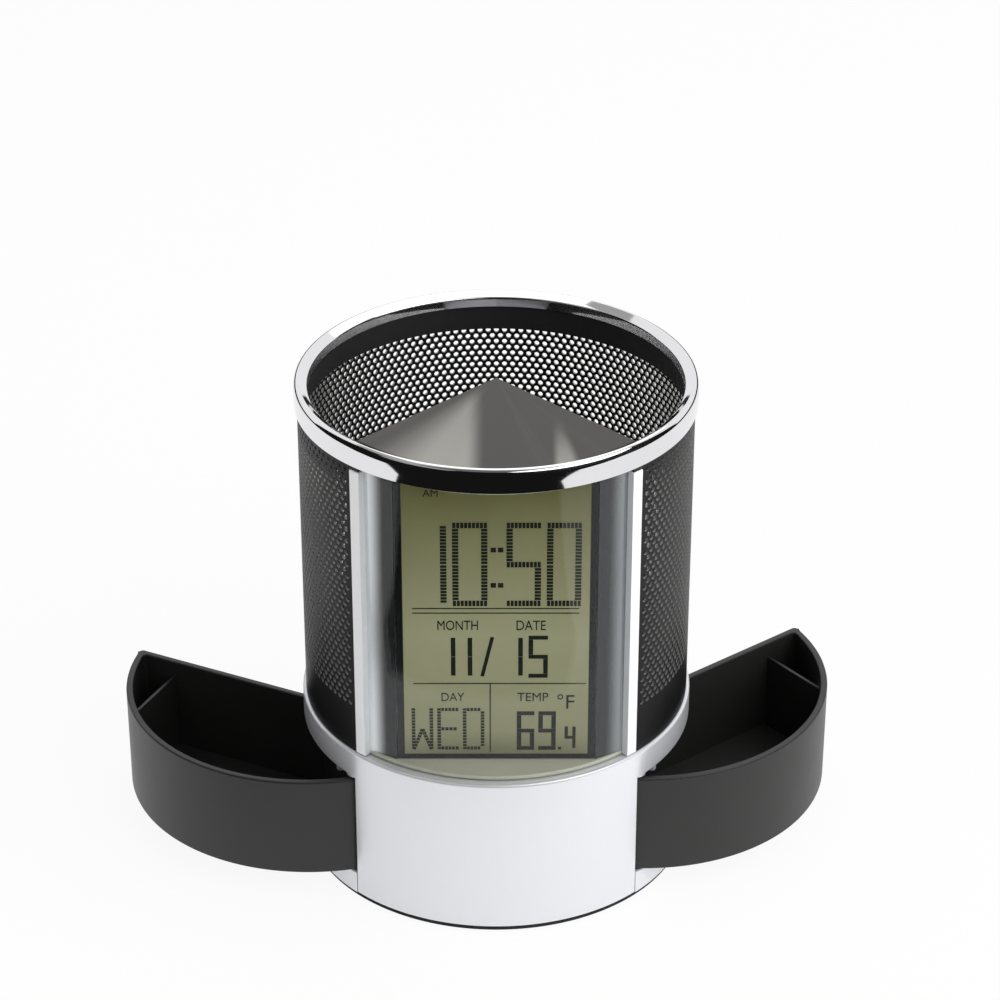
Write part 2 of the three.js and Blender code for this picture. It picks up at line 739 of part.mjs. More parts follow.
// Plan of the wedge's side wall on one side, from the apex on the axis out towards the lens
function housingWallOutline() {
  const slant = housingWall * Math.SQRT2;
  const reach = windowHalfAngle - Math.asin(housingWall / housingReach);
  return [point(0, 0), polar(housingReach, windowHalfAngle), polar(housingReach, reach), point(0, -slant)];
}

function clockHousing() {
  const walls = [-1, 1].map((side) => prism(onSide(side, housingWallOutline()), housingBottom, housingTop));
  const floorFront = holderFront;
  const floorOutline = [point(0, 0), point(floorFront, floorFront), point(-floorFront, floorFront)];
  const round = rod(housingReach, housingBottom, windowTop, point(0, 0), ringSegments);
  const floor = prism(floorOutline, housingBottom, housingFloorTop).intersect(round);
  const bulkheads = [-1, 1].map((side) => {
    const near = boardHalf + fitGap;
    const rear = bulkheadFront + bulkheadThickness;
    const outline = [
      point(near, bulkheadFront),
      point(-bulkheadFront - housingWall, bulkheadFront),
      point(-rear - housingWall, rear),
      point(near, rear),
    ];
    return prism(onSide(side, outline), housingFloorTop - weld, windowTop).intersect(round);
  });
  const bossTop = deckUnderside + housingScrew.length + overrun;
  const bosses = housingScrewPlaces.map((place) =>
    rod(housingScrew.shaft + fitGap + screwWall, housingFloorTop - weld, bossTop, place),
  );
  const boreTop = deckUnderside + housingScrew.length + fitGap;
  const bores = housingScrewPlaces.map((place) =>
    rod(housingScrew.shaft + fitGap, deckUnderside, boreTop, place, smallSegments),
  );
  const cableSlot = block(
    [-cableSlotHalf, cableSlotFront, housingBottom - overrun],
    [cableSlotHalf, cableSlotRear, housingFloorTop + overrun],
  );
  const body = joined(...walls, floor, ...bulkheads, ...bosses);
  return piece("clock_housing", cut(body, ...bores, cableSlot), silver);
}

function clockTopCap() {
  const radius = ringInner - fitGap;
  const half = windowHalfAngle + Math.asin(capOverhang / radius);
  const outline = [...arc(radius, -half, half), point(0, capOverhang * Math.SQRT2)];
  return piece("clock_top_cap", prism(outline, capTop - capThickness, capTop), satin);
}

function lens() {
  const half = postInnerAngle - Math.asin(fitGap / lensOuter);
  return piece("lens", ringSector(lensOuter, lensInner, -half, half, windowBottom, windowTop), clear);
}

// Segment of a disc in front of a plane, in plan
function frontSegment(radius, plane) {
  const half = Math.acos(-plane / radius);
  return arc(radius, -half, half);
}

function displaySurround() {
  const radius = lensInner - fitGap;
  const ledgePlane = holderFront - fitGap;
  const ledge = prism(frontSegment(radius, ledgePlane), windowBottom, ledgeTop);
  const header = prism(frontSegment(radius, ledgePlane), windowTop - ledgeThickness, windowTop);
  const sides = [-1, 1].flatMap((side) => {
    const post = [
      ...arc(lensOuter, postInnerAngle, postOuterAngle),
      ...arc(postInner, postOuterAngle, postInnerAngle),
    ];
    const root = polar(panelRoot, postInnerAngle);
    const panel = [
      point(lcdHalf + fitGap, displayPlane),
      root,
      point(root.x, root.y + surroundWall),
      point(lcdHalf + fitGap, displayPlane + surroundWall),
    ];
    return [post, panel].map((outline) => prism(onSide(side, outline), windowBottom, windowTop));
  });
  return piece("display_surround", joined(ledge, header, ...sides), silver);
}

// The two glasses of the LCD, the rear one shorter to leave the contact edge bare
function lcdCell() {
  const glassBack = displayPlane + lcdGlassThickness;
  const front = block([-lcdHalf, displayPlane, lcdBottom], [lcdHalf, glassBack, lcdTop]);
  const rear = block([-lcdHalf, displayPlane, lcdBottom + lcdStep], [lcdHalf, lcdBack, lcdTop]);
  return piece("lcd_cell", joined(front, rear), lcdGreen);
}

function lcdReflector() {
  const front = lcdBack + fitGap;
  const bottom = lcdBottom + lcdStep;
  const sheet = block([-lcdHalf, front, bottom], [lcdHalf, reflectorBack, lcdTop]);
  return piece("lcd_reflector", sheet, whitePlastic);
}

const boardScrewX = lcdHalf - boardScrewInset;
const boardScrewZs = [boardBottom + boardScrewLow, boardTop - boardScrewDrop];
const boardScrewPlaces = boardScrewZs.flatMap((z) => [-boardScrewX, boardScrewX].map((x) => ({ x, z })));

function boardHoles(from, to) {
  const radius = boardScrew.shaft + fitGap;
  return boardScrewPlaces.map((place) => barAlong("y", radius, from, to, place, smallSegments));
}

function lcdHolder() {
  const windowHalf = lcdHalf - holderBar;
  const stripTop = lcdBottom + lcdStep + fitGap;
  const frame = block([-lcdHalf, holderFront, holderBottom], [lcdHalf, holderBack, lcdTop]);
  const [before, behind] = [holderFront - overrun, holderBack + overrun];
  const view = block([-windowHalf, before, stripTop + holderEnd], [windowHalf, behind, lcdTop - holderEnd]);
  const stripSlot = block([-windowHalf, before, holderBottom - overrun], [windowHalf, behind, stripTop]);
  return piece("lcd_holder", cut(frame, view, stripSlot, ...boardHoles(before, behind)), whitePlastic);
}

function contactStrip() {
  const half = lcdHalf - holderBar - fitGap;
  const front = displayPlane + lcdGlassThickness + fitGap;
  const top = lcdBottom + lcdStep - fitGap;
  const strip = block([-half, front, holderBottom], [half, boardFront - fitGap, top]);
  return piece("contact_strip", strip, rubber);
}

function clockBoard() {
  const plate = block([-boardHalf, boardFront, boardBottom], [boardHalf, boardBack, boardTop]);
  const holes = boardHoles(boardFront - overrun, boardBack + overrun);
  return piece("clock_board", cut(plate, ...holes), boardGreen);
}

// What the clock board carries on its rear face, placed on the face by x and height
function boardParts() {
  const domeProfile = [
    [0, 0],
    ...domeAngles.map((angle) => [chip.radius * Math.cos(angle), chip.height * Math.sin(angle)]),
    [0, chip.height],
  ];
  const blob = piece("chip_blob", turned(domeProfile, point(0, 0), rodSegments), black);
  blob.rotation.x = -Math.PI / 2;
  blob.position.set(0, boardBack, boardTop - chip.drop);
  const can = piece("crystal", rod(crystal.radius, 0, crystal.length, point(0, 0), smallSegments), steel);
  can.position.set(boardHalf - crystal.inset, boardBack + crystal.radius, boardTop - crystal.drop);
  const sounder = piece("buzzer", rod(buzzer.radius, 0, buzzer.height), black);
  sounder.rotation.x = -Math.PI / 2;
  sounder.position.set(buzzer.inset - boardHalf, boardBack, boardTop - buzzer.drop);
  const capsule = rod(sensor.radius, 0, sensor.length, point(0, 0), smallSegments);
  const bead = piece("temperature_sensor", capsule, black);
  bead.position.set(boardHalf - sensor.inset, boardBack + sensor.radius, boardTop - sensor.drop);
  return [blob, can, sounder, bead];
}

// Flat cable along a curve in the plane x = 0
function ribbonCable() {
  const clear = keyBoardTop + ribbonThickness;
  const route = new THREE.SplineCurve([
    point(keyBoardFront + ribbonHalfWidth, clear),
    point(-ribOuterHalf, clear + ribOuterHalf),
    point(cableSlotRear + ribOuterHalf / 2, (clear + deckUnderside) / 2),
    point(cableSlotY, deckUnderside),
    point(cableSlotY - ribbonThickness, housingFloorTop + ribbonThickness),
    point(boardBack + ribbonThickness, housingFloorTop + cableRise),
  ]);
  const middle = route.getSpacedPoints(ribbonSteps);
  const edge = (sign) =>
    middle.map((p, i) => {
      const along = route.getTangentAt(i / ribbonSteps);
      const offset = (sign * ribbonThickness) / 2;
      return point(p.x - along.y * offset, p.y + along.x * offset);
    });
  const shape = new THREE.Shape([...edge(1), ...edge(-1).reverse()]);
  const geometry = new THREE.ExtrudeGeometry(shape, { depth: 2 * ribbonHalfWidth, bevelEnabled: false });
  geometry.translate(0, 0, -ribbonHalfWidth);
  geometry.applyMatrix4(new THREE.Matrix4().makeBasis(
    new THREE.Vector3(0, 1, 0),
    new THREE.Vector3(0, 0, 1),
    new THREE.Vector3(1, 0, 0),
  ));
  return piece("ribbon_cable", solid(geometry), grey);
}

// Lead from a contact's solder tab, over the compartment and up through the deck to the clock board
function batteryLead(name, side, finish) {
  const tabX = boxHalf - contactThickness - contactTouchGap - leadRadius;
  const tabZ = boxCeiling + boxWall + contactTab - leadRadius;
  const slotX = (cableSlotHalf + ribbonHalfWidth) / 2;
  const route = new THREE.CatmullRomCurve3([
    new THREE.Vector3(side * tabX, -cellSetback, tabZ),
    new THREE.Vector3(side * (tabX - cellRadius), -cellSetback + cellRadius, tabZ + cellRadius / 2),
    new THREE.Vector3(side * slotX, cableSlotY, deckUnderside - cellRadius),
    new THREE.Vector3(side * slotX, cableSlotY, housingFloorTop),
    new THREE.Vector3(side * slotX, boardBack + leadRadius + fitGap, housingFloorTop + cableRise),
  ]);
  const section = new THREE.Shape(
    Array.from({ length: leadSides }, (_, i) => {
      const turn = (2 * Math.PI * i) / leadSides;
      return point(leadRadius * Math.cos(turn), leadRadius * Math.sin(turn));
    }),
  );
  const geometry = new THREE.ExtrudeGeometry(section, { steps: leadSteps, extrudePath: route });
  return piece(name, solid(geometry), finish);
}

function placedScrews(prefix, size, places, z) {
  return places.map((place, i) => {
    const made = screw(`${prefix}_${i + 1}`, size);
    made.position.set(place.x, place.y, z);
    return made;
  });
}

function boardScrews() {
  return boardScrewPlaces.map((place, i) => {
    const made = screw(`board_screw_${i + 1}`, boardScrew);
    made.rotation.x = Math.PI / 2;
    made.position.set(place.x, boardBack, place.z);
    return made;
  });
}

const base = group(
  antiSlipPad(),
  basePan(),
  baseShell(),
  batteryDoor(),
  batteryCell(),
  contact("negative_contact", -1, springRadius),
  contact("positive_contact", 1, cellNubRadius),
  hingePin("left_hinge_pin", hingePlaces[0]),
  hingePin("right_hinge_pin", hingePlaces[1]),
  keyBoard(),
  ...keyYs.map((y, i) => keySwitch(`key_switch_${i + 1}`, y)),
  ...["mode_button", "set_button", "up_button", "down_button"].map((name, i) => button(name, keyYs[i])),
  ...placedScrews("base_screw", baseScrew, baseScrewPlaces, panUnderside + counterboreDepth),
);

const drawers = group(drawer("left_drawer", -1, leftOpening), drawer("right_drawer", 1, rightOpening));

const cup = group(meshSleeve(), cupFloor(), topRing(), ringLiner());

const clock = group(
  clockHousing(),
  clockTopCap(),
  lens(),
  displaySurround(),
  lcdCell(),
  lcdReflector(),
  lcdHolder(),
  contactStrip(),
  clockBoard(),
  ...boardParts(),
  ...boardScrews(),
  ...placedScrews("housing_screw", housingScrew, housingScrewPlaces, deckUnderside),
  ribbonCable(),
  batteryLead("battery_lead_negative", -1, black),
  batteryLead("battery_lead_positive", 1, red),
);

const penHolderClock = group(base, drawers, cup, clock);

export default penHolderClock;
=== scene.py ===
import logging
import math
from dataclasses import dataclass, field
from enum import Enum
from typing import Any, Callable, Iterable

import bmesh
import bpy
from mathutils import Euler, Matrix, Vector
from mathutils.geometry import tessellate_polygon

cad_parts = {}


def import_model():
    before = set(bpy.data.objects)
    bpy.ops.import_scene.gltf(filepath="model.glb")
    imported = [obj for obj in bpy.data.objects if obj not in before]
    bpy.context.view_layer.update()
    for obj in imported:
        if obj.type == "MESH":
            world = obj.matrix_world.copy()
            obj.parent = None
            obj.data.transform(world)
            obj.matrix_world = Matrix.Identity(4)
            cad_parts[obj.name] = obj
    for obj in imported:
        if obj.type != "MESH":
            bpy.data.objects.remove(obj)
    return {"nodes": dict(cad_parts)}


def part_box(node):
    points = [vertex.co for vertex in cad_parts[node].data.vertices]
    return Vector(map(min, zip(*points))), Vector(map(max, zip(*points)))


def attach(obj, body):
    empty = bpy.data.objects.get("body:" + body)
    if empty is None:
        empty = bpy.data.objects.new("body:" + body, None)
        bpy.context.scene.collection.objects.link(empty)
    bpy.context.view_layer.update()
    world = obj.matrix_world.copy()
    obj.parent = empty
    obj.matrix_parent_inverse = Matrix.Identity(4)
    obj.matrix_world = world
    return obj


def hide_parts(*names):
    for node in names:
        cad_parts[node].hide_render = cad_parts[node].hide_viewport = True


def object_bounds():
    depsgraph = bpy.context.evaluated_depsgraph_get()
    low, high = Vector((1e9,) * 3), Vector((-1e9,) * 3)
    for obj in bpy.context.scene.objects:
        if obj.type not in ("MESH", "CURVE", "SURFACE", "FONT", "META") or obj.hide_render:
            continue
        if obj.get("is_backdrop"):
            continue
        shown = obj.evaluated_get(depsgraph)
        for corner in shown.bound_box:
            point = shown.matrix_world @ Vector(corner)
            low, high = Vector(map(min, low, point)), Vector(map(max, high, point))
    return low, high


log = logging.getLogger("pen_holder_clock")

MM = 0.001

# Half angle of the clock's window in degrees, where the sleeve, the skirt and the drawers' bays begin
WINDOW = 45.0
# Shared by the pieces of the base, in millimetres: radius of a bore and of a hinge knuckle, and the
# level where the drawers, the rear post, the partitions and the shell's screw bosses begin
BORE = 1.5
KNUCKLE = 2.4
FOOT = 7.6
# Points of the base shell's section from the split round its lower edge and back up to the split, and
# one point on that edge
BELOW = slice(2, 12)
LOWEST = 6
# Least divisor of a mitre, which keeps the corner of a very sharp turn from running far out
LEAST_DIVISOR = 0.25
PURE_WHITE = (1.0, 1.0, 1.0, 1.0)
PURE_BLACK = (0.0, 0.0, 0.0, 1.0)
SCREWS = ("base_screw_1", "base_screw_2", "base_screw_3")
BUTTONS = ("mode_button", "set_button", "up_button", "down_button")
PINS = {-1: "left_hinge_pin", 1: "right_hinge_pin"}

Point = tuple[float, float]
Place = tuple[float, float, float]
Outline = list[Point]
Colour = tuple[float, float, float, float]


def tone(code: int) -> Colour:
    """Linear colour of a six-digit screen colour.

    Args:
        code: Red, green and blue as one hexadecimal number.

    Returns:
        Linear red, green and blue, and full alpha.
    """
    parts = [((code >> shift) & 255) / 255 for shift in (16, 8, 0)]
    linear = [p / 12.92 if p <= 0.04045 else ((p + 0.055) / 1.055) ** 2.4 for p in parts]
    return (linear[0], linear[1], linear[2], 1.0)


def shaded(colour: Colour, factor: float, lift: float = 0.0) -> Colour:
    """Lighter or darker form of a linear colour."""
    red, green, blue = (min(1.0, part * factor + lift) for part in colour[:3])
    return (red, green, blue, 1.0)


# Plan drawing


def polar(radius: float, angle: float) -> Point:
    """Point at a radius and an angle in degrees, measured from the front towards the right."""
    turn = math.radians(angle)
    return (radius * math.sin(turn), -radius * math.cos(turn))


def arc(radius: float, start: float, stop: float, step: float = 1.5) -> Outline:
    """Points along an arc about the axis.

    Args:
        radius: Radius in millimetres.
        start: First angle in degrees, measured from the front.
        stop: Last angle in degrees.
        step: Largest angle between neighbours.

    Returns:
        The points, with both ends.
    """
    count = max(1, math.ceil(abs(stop - start) / step))
    return [polar(radius, start + (stop - start) * i / count) for i in range(count + 1)]


def circle(centre: Point, radius: float, count: int = 40) -> Outline:
    """Anticlockwise circle in plan."""
    turns = [2 * math.pi * i / count for i in range(count)]
    return [(centre[0] + radius * math.cos(t), centre[1] + radius * math.sin(t)) for t in turns]


def quarter(steps: int) -> list[float]:
    """Angles in radians from 0 to a right angle, in even steps."""
    return [math.radians(90 * k / steps) for k in range(steps + 1)]


def bored(centre: Point, radius: float, count: int = 40) -> Outline:
    """Clockwise circle in plan, the edge of a round hole."""
    return list(reversed(circle(centre, radius, count)))


def turned(x: float, y: float, turn: float, centre: Point) -> Point:
    """Point given from a centre, turned about it by an angle in radians."""
    cos, sin = math.cos(turn), math.sin(turn)
    return (centre[0] + x * cos - y * sin, centre[1] + x * sin + y * cos)


def bend(centre: Point, radius: float, start: float, stop: float, count: int = 16) -> Outline:
    """Arc about any centre, its angles in degrees from +X."""
    turns = [math.radians(start + (stop - start) * i / count) for i in range(count + 1)]
    return [(centre[0] + radius * math.cos(t), centre[1] + radius * math.sin(t)) for t in turns]


def rectangle(left: float, right: float, front: float, rear: float) -> Outline:
    """Anticlockwise rectangle in plan."""
    return [(left, front), (right, front), (right, rear), (left, rear)]


def mirrored(outline: Outline) -> Outline:
    """Outline on the other side of the middle plane, run the same way round."""
    return [(-x, y) for x, y in reversed(outline)]


def inset(outline: Outline, distance: float) -> Outline:
    """Outline moved to its left by a distance, with mitred corners.

    Args:
        outline: Closed outline, anticlockwise round solid and clockwise round a hole.
        distance: How far each side moves into the solid.

    Returns:
        The moved outline, with as many points.
    """
    moved: Outline = []
    count = len(outline)
    for i, (x, y) in enumerate(outline):
        before, after = outline[i - 1], outline[(i + 1) % count]
        first = Vector((x - before[0], y - before[1])).normalized()
        second = Vector((after[0] - x, after[1] - y)).normalized()
        middle = Vector((-first.y - second.y, first.x + second.x))
        divisor = max(LEAST_DIVISOR, 1 + first.dot(second))
        moved.append((x + middle.x * distance / divisor, y + middle.y * distance / divisor))
    return moved


def rounded(outline: Outline, radii: dict[int, float], count: int = 6) -> Outline:
    """Outline with some corners turned into small arcs.

    Args:
        outline: Closed outline.
        radii: Radius for each corner's index.
        count: Steps in each arc.

    Returns:
        The outline with its arcs.
    """
    made: Outline = []
    total = len(outline)
    for i, (x, y) in enumerate(outline):
        radius = radii.get(i, 0.0)
        if not radius:
            made.append((x, y))
            continue
        here = Vector((x, y))
        back = (Vector(outline[i - 1]) - here).normalized()
        ahead = (Vector(outline[(i + 1) % total]) - here).normalized()
        half = back.angle(ahead) / 2
        bisector = (back + ahead).normalized()
        centre = here + bisector * (radius / math.sin(half))
        first = here + back * (radius / math.tan(half)) - centre
        last = here + ahead * (radius / math.tan(half)) - centre
        start = math.atan2(first.y, first.x)
        sweep = (math.atan2(last.y, last.x) - start + math.pi) % (2 * math.pi) - math.pi
        for k in range(count + 1):
            turn = start + sweep * k / count
            made.append((centre.x + radius * math.cos(turn), centre.y + radius * math.sin(turn)))
    return made


@dataclass(frozen=True)
class Span:
    """Box of a CAD node, in millimetres."""

    low: Vector
    high: Vector

    @classmethod
    def of(cls, node: str) -> "Span":
        """Box of the named node."""
        low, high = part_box(node)
        return cls(low / MM, high / MM)

    @property
    def centre(self) -> Point:
        """Middle of the box in plan."""
        return ((self.low.x + self.high.x) / 2, (self.low.y + self.high.y) / 2)

    def grown(self, gap: float) -> Outline:
        """Anticlockwise outline of the box in plan with a gap all round."""
        return rectangle(self.low.x - gap, self.high.x + gap, self.low.y - gap, self.high.y + gap)


def span_of(node: str) -> Any:
    """Field that holds the box of a CAD node, read when the piece is set up."""
    return field(default_factory=lambda: Span.of(node))


# Mesh making


class Shell:
    """Mesh being made from outlines and levels, in millimetres."""

    # Steps in a rounded edge, distance in millimetres of the extra loops beside it, and distance in
    # metres under which points are joined
    STEPS = 3
    HOLD = 0.25
    WELD = 2e-6

    def __init__(self) -> None:
        """Starts with no points and no faces."""
        self.points: list[Place] = []
        self.faces: list[tuple[int, ...]] = []

    def row(self, points: Iterable[Place]) -> list[int]:
        """Adds points.

        Args:
            points: Across, along and up of each point.

        Returns:
            Their indices.
        """
        start = len(self.points)
        self.points.extend(points)
        return list(range(start, len(self.points)))

    def loop(self, outline: Outline, level: float) -> list[int]:
        """Adds an outline at a level."""
        return self.row((x, y, level) for x, y in outline)

    def skin(self, rows: list[list[int]], closed: bool = True) -> None:
        """Joins neighbouring rows of points by quads.

        Args:
            rows: Rows with as many points each.
            closed: Whether each row's last point meets its first.
        """
        for lower, upper in zip(rows, rows[1:]):
            count = len(lower)
            for i in range(count if closed else count - 1):
                j = (i + 1) % count
                self.faces.append((lower[i], lower[j], upper[j], upper[i]))

    def wall(
        self, outline: Outline, bottom: float, top: float, low: float = 0.0, high: float = 0.0
    ) -> tuple[Outline, Outline]:
        """Upright wall along an outline, with its ends rounded over into the solid.

        Args:
            outline: Closed outline with the solid on its left.
            bottom: Level of the lower end.
            top: Level of the upper end.
            low: Radius at the lower end.
            high: Radius at the upper end.

        Returns:
            The outlines that close the lower and the upper end.
        """
        rows: list[Point] = []
        turns = quarter(self.STEPS)
        if low:
            rows.append((low + self.HOLD, bottom))
            rows += [(low * (1 - math.sin(t)), bottom + low * (1 - math.cos(t))) for t in turns]
            rows.append((0.0, bottom + low + self.HOLD))
        else:
            rows.append((0.0, bottom))
        if high:
            rows.append((0.0, top - high - self.HOLD))
            rows += [(high * (1 - math.sin(t)), top - high * (1 - math.cos(t))) for t in reversed(turns)]
            rows.append((high + self.HOLD, top))
        else:
            rows.append((0.0, top))
        loops = [inset(outline, back) if back else outline for back, _ in rows]
        self.skin([self.loop(loop, level) for loop, (_, level) in zip(loops, rows)])
        return loops[0], loops[-1]

    def cap(self, level: float, outer: Outline, holes: Iterable[Outline] = ()) -> None:
        """Flat face at a level.

        Args:
            level: Its level.
            outer: Outline that it fills.
            holes: Outlines that it leaves open.
        """
        loops = [outer, *holes]
        start = len(self.points)
        for outline in loops:
            self.loop(outline, level)
        flat = [[Vector((x, y, 0)) for x, y in outline] for outline in loops]
        for triangle in tessellate_polygon(flat):
            self.faces.append(tuple(start + i for i in triangle))

    def slab(
        self,
        outer: Outline,
        bottom: float,
        top: float,
        edge: float = 0.3,
        holes: Iterable[Outline] = (),
        hole_edge: float = 0.0,
    ) -> None:
        """Solid between two levels.

        Args:
            outer: Anticlockwise outline.
            bottom: Lower level.
            top: Upper level.
            edge: Radius round the outer edges.
            holes: Clockwise outlines of holes right through.
            hole_edge: Radius round the edges of the holes.
        """
        ends = [self.wall(outer, bottom, top, edge, edge)]
        ends += [self.wall(hole, bottom, top, hole_edge, hole_edge) for hole in holes]
        self.cap(bottom, ends[0][0], [low for low, _ in ends[1:]])
        self.cap(top, ends[0][1], [high for _, high in ends[1:]])

    def lathe(self, profile: list[Point], segments: int = 180, centre: Point = (0.0, 0.0)) -> None:
        """Closed profile of radius and level turned right round.

        Args:
            profile: Radius and level of each point.
            segments: Steps round.
            centre: Where its axis stands.
        """
        rows = []
        for i in range(segments + 1):
            turn = 2 * math.pi * i / segments
            across, along = math.sin(turn), -math.cos(turn)
            rows.append(self.row((centre[0] + r * across, centre[1] + r * along, z) for r, z in profile))
        self.skin(rows)

    def thicken(self, depth: float) -> None:
        """Gives flat marks in the XZ plane a back and sides, so that each is a thin solid.

        Args:
            depth: How far the back stands behind the front.
        """
        front, count = list(self.faces), len(self.points)
        edges = {(a, b) for face in front for a, b in zip(face, face[1:] + face[:1])}
        self.points += [(x, y + depth, z) for x, y, z in self.points]
        self.faces += [tuple(count + i for i in reversed(face)) for face in front]
        self.faces += [(b, a, count + a, count + b) for a, b in sorted(edges) if (b, a) not in edges]

    def place(self, move: Callable[[float, float], Point]) -> None:
        """Moves every point in plan."""
        self.points = [(*move(x, y), z) for x, y, z in self.points]

    def build(
        self,
        name: str,
        finish: "Finish",
        body: str = "holder",
        slot: str = "",
        replaces: Iterable[str] = (),
        crease: float = 38.0,
        merge: bool = True,
    ) -> None:
        """Makes the object, dresses it and ties it to the frame.

        Args:
            name: Name of the piece.
            finish: What it is finished in.
            body: CAD body that it moves with.
            slot: Material slot of the record; not used.
            replaces: CAD nodes that it stands for.
            crease: Angle in degrees over which an edge stays sharp.
            merge: Whether points that meet are joined.
        """
        mesh = bpy.data.meshes.new(name)
        mesh.from_pydata([(x * MM, y * MM, z * MM) for x, y, z in self.points], [], self.faces)
        made = bmesh.new()
        made.from_mesh(mesh)
        if merge:
            bmesh.ops.remove_doubles(made, verts=made.verts, dist=self.WELD)
        bmesh.ops.recalc_face_normals(made, faces=made.faces)
        made.to_mesh(mesh)
        made.free()
        mesh.shade_smooth()
        mesh.set_sharp_from_angle(angle=math.radians(crease))
        mesh.materials.append(finish.material())
        thing = bpy.data.objects.new(name, mesh)
        bpy.context.scene.collection.objects.link(thing)
        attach(thing, body)
        if replaces:
            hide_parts(*replaces)
        log.info("%s: %d faces", name, len(mesh.polygons))


def boss(shell: Shell, node: str, radius: float, bottom: float, top: float, edge: float) -> None:
    """Adds a round boss with a bore, where a screw or a hinge pin of the CAD stands."""
    centre = Span.of(node).centre
    shell.slab(circle(centre, radius), bottom, top, edge, [bored(centre, BORE, 24)])


# Shader making


class Signal:
    """Output socket of a shader node, with arithmetic."""

    def __init__(self, graph: "Graph", socket: bpy.types.NodeSocket) -> None:
        """Wraps a socket of a graph."""
        self.graph = graph
        self.socket = socket

    def math(self, operation: str, *values: Any) -> "Signal":
        """Result of a Math node on some values."""
        return self.graph.node("Math", {"operation": operation}, dict(enumerate(values)))

    def sibling(self, output: Any) -> "Signal":
        """Another output of the same node."""
        return Signal(self.graph, self.socket.node.outputs[output])

    def __add__(self, other: Any) -> "Signal":
        """Sum."""
        return self.math("ADD", self, other)

    def __radd__(self, other: Any) -> "Signal":
        """Sum with the signal second."""
        return self.math("ADD", other, self)

    def __sub__(self, other: Any) -> "Signal":
        """Difference."""
        return self.math("SUBTRACT", self, other)

    def __rsub__(self, other: Any) -> "Signal":
        """Difference with the signal second."""
        return self.math("SUBTRACT", other, self)

    def __mul__(self, other: Any) -> "Signal":
        """Product."""
        return self.math("MULTIPLY", self, other)

    def __rmul__(self, other: Any) -> "Signal":
        """Product with the signal second."""
        return self.math("MULTIPLY", other, self)

    def __truediv__(self, other: Any) -> "Signal":
        """Quotient."""
        return self.math("DIVIDE", self, other)

    def __abs__(self) -> "Signal":
        """Size without sign."""
        return self.math("ABSOLUTE", self)

    def least(self, other: Any) -> "Signal":
        """Smaller of two values."""
        return self.math("MINIMUM", self, other)

    def most(self, other: Any) -> "Signal":
        """Larger of two values."""
        return self.math("MAXIMUM", self, other)

    def ease(self, start: float, stop: float) -> "Signal":
        """Smooth rise from 0 to 1.

        Args:
            start: Value at which it leaves 0.
            stop: Value at which it reaches 1, which may be the lower of the two.

        Returns:
            The eased signal.
        """
        return self.graph.node(
            "MapRange",
            {"interpolation_type": "SMOOTHSTEP"},
            {"Value": self, "From Min": start, "From Max": stop, "To Min": 0.0, "To Max": 1.0},
        )


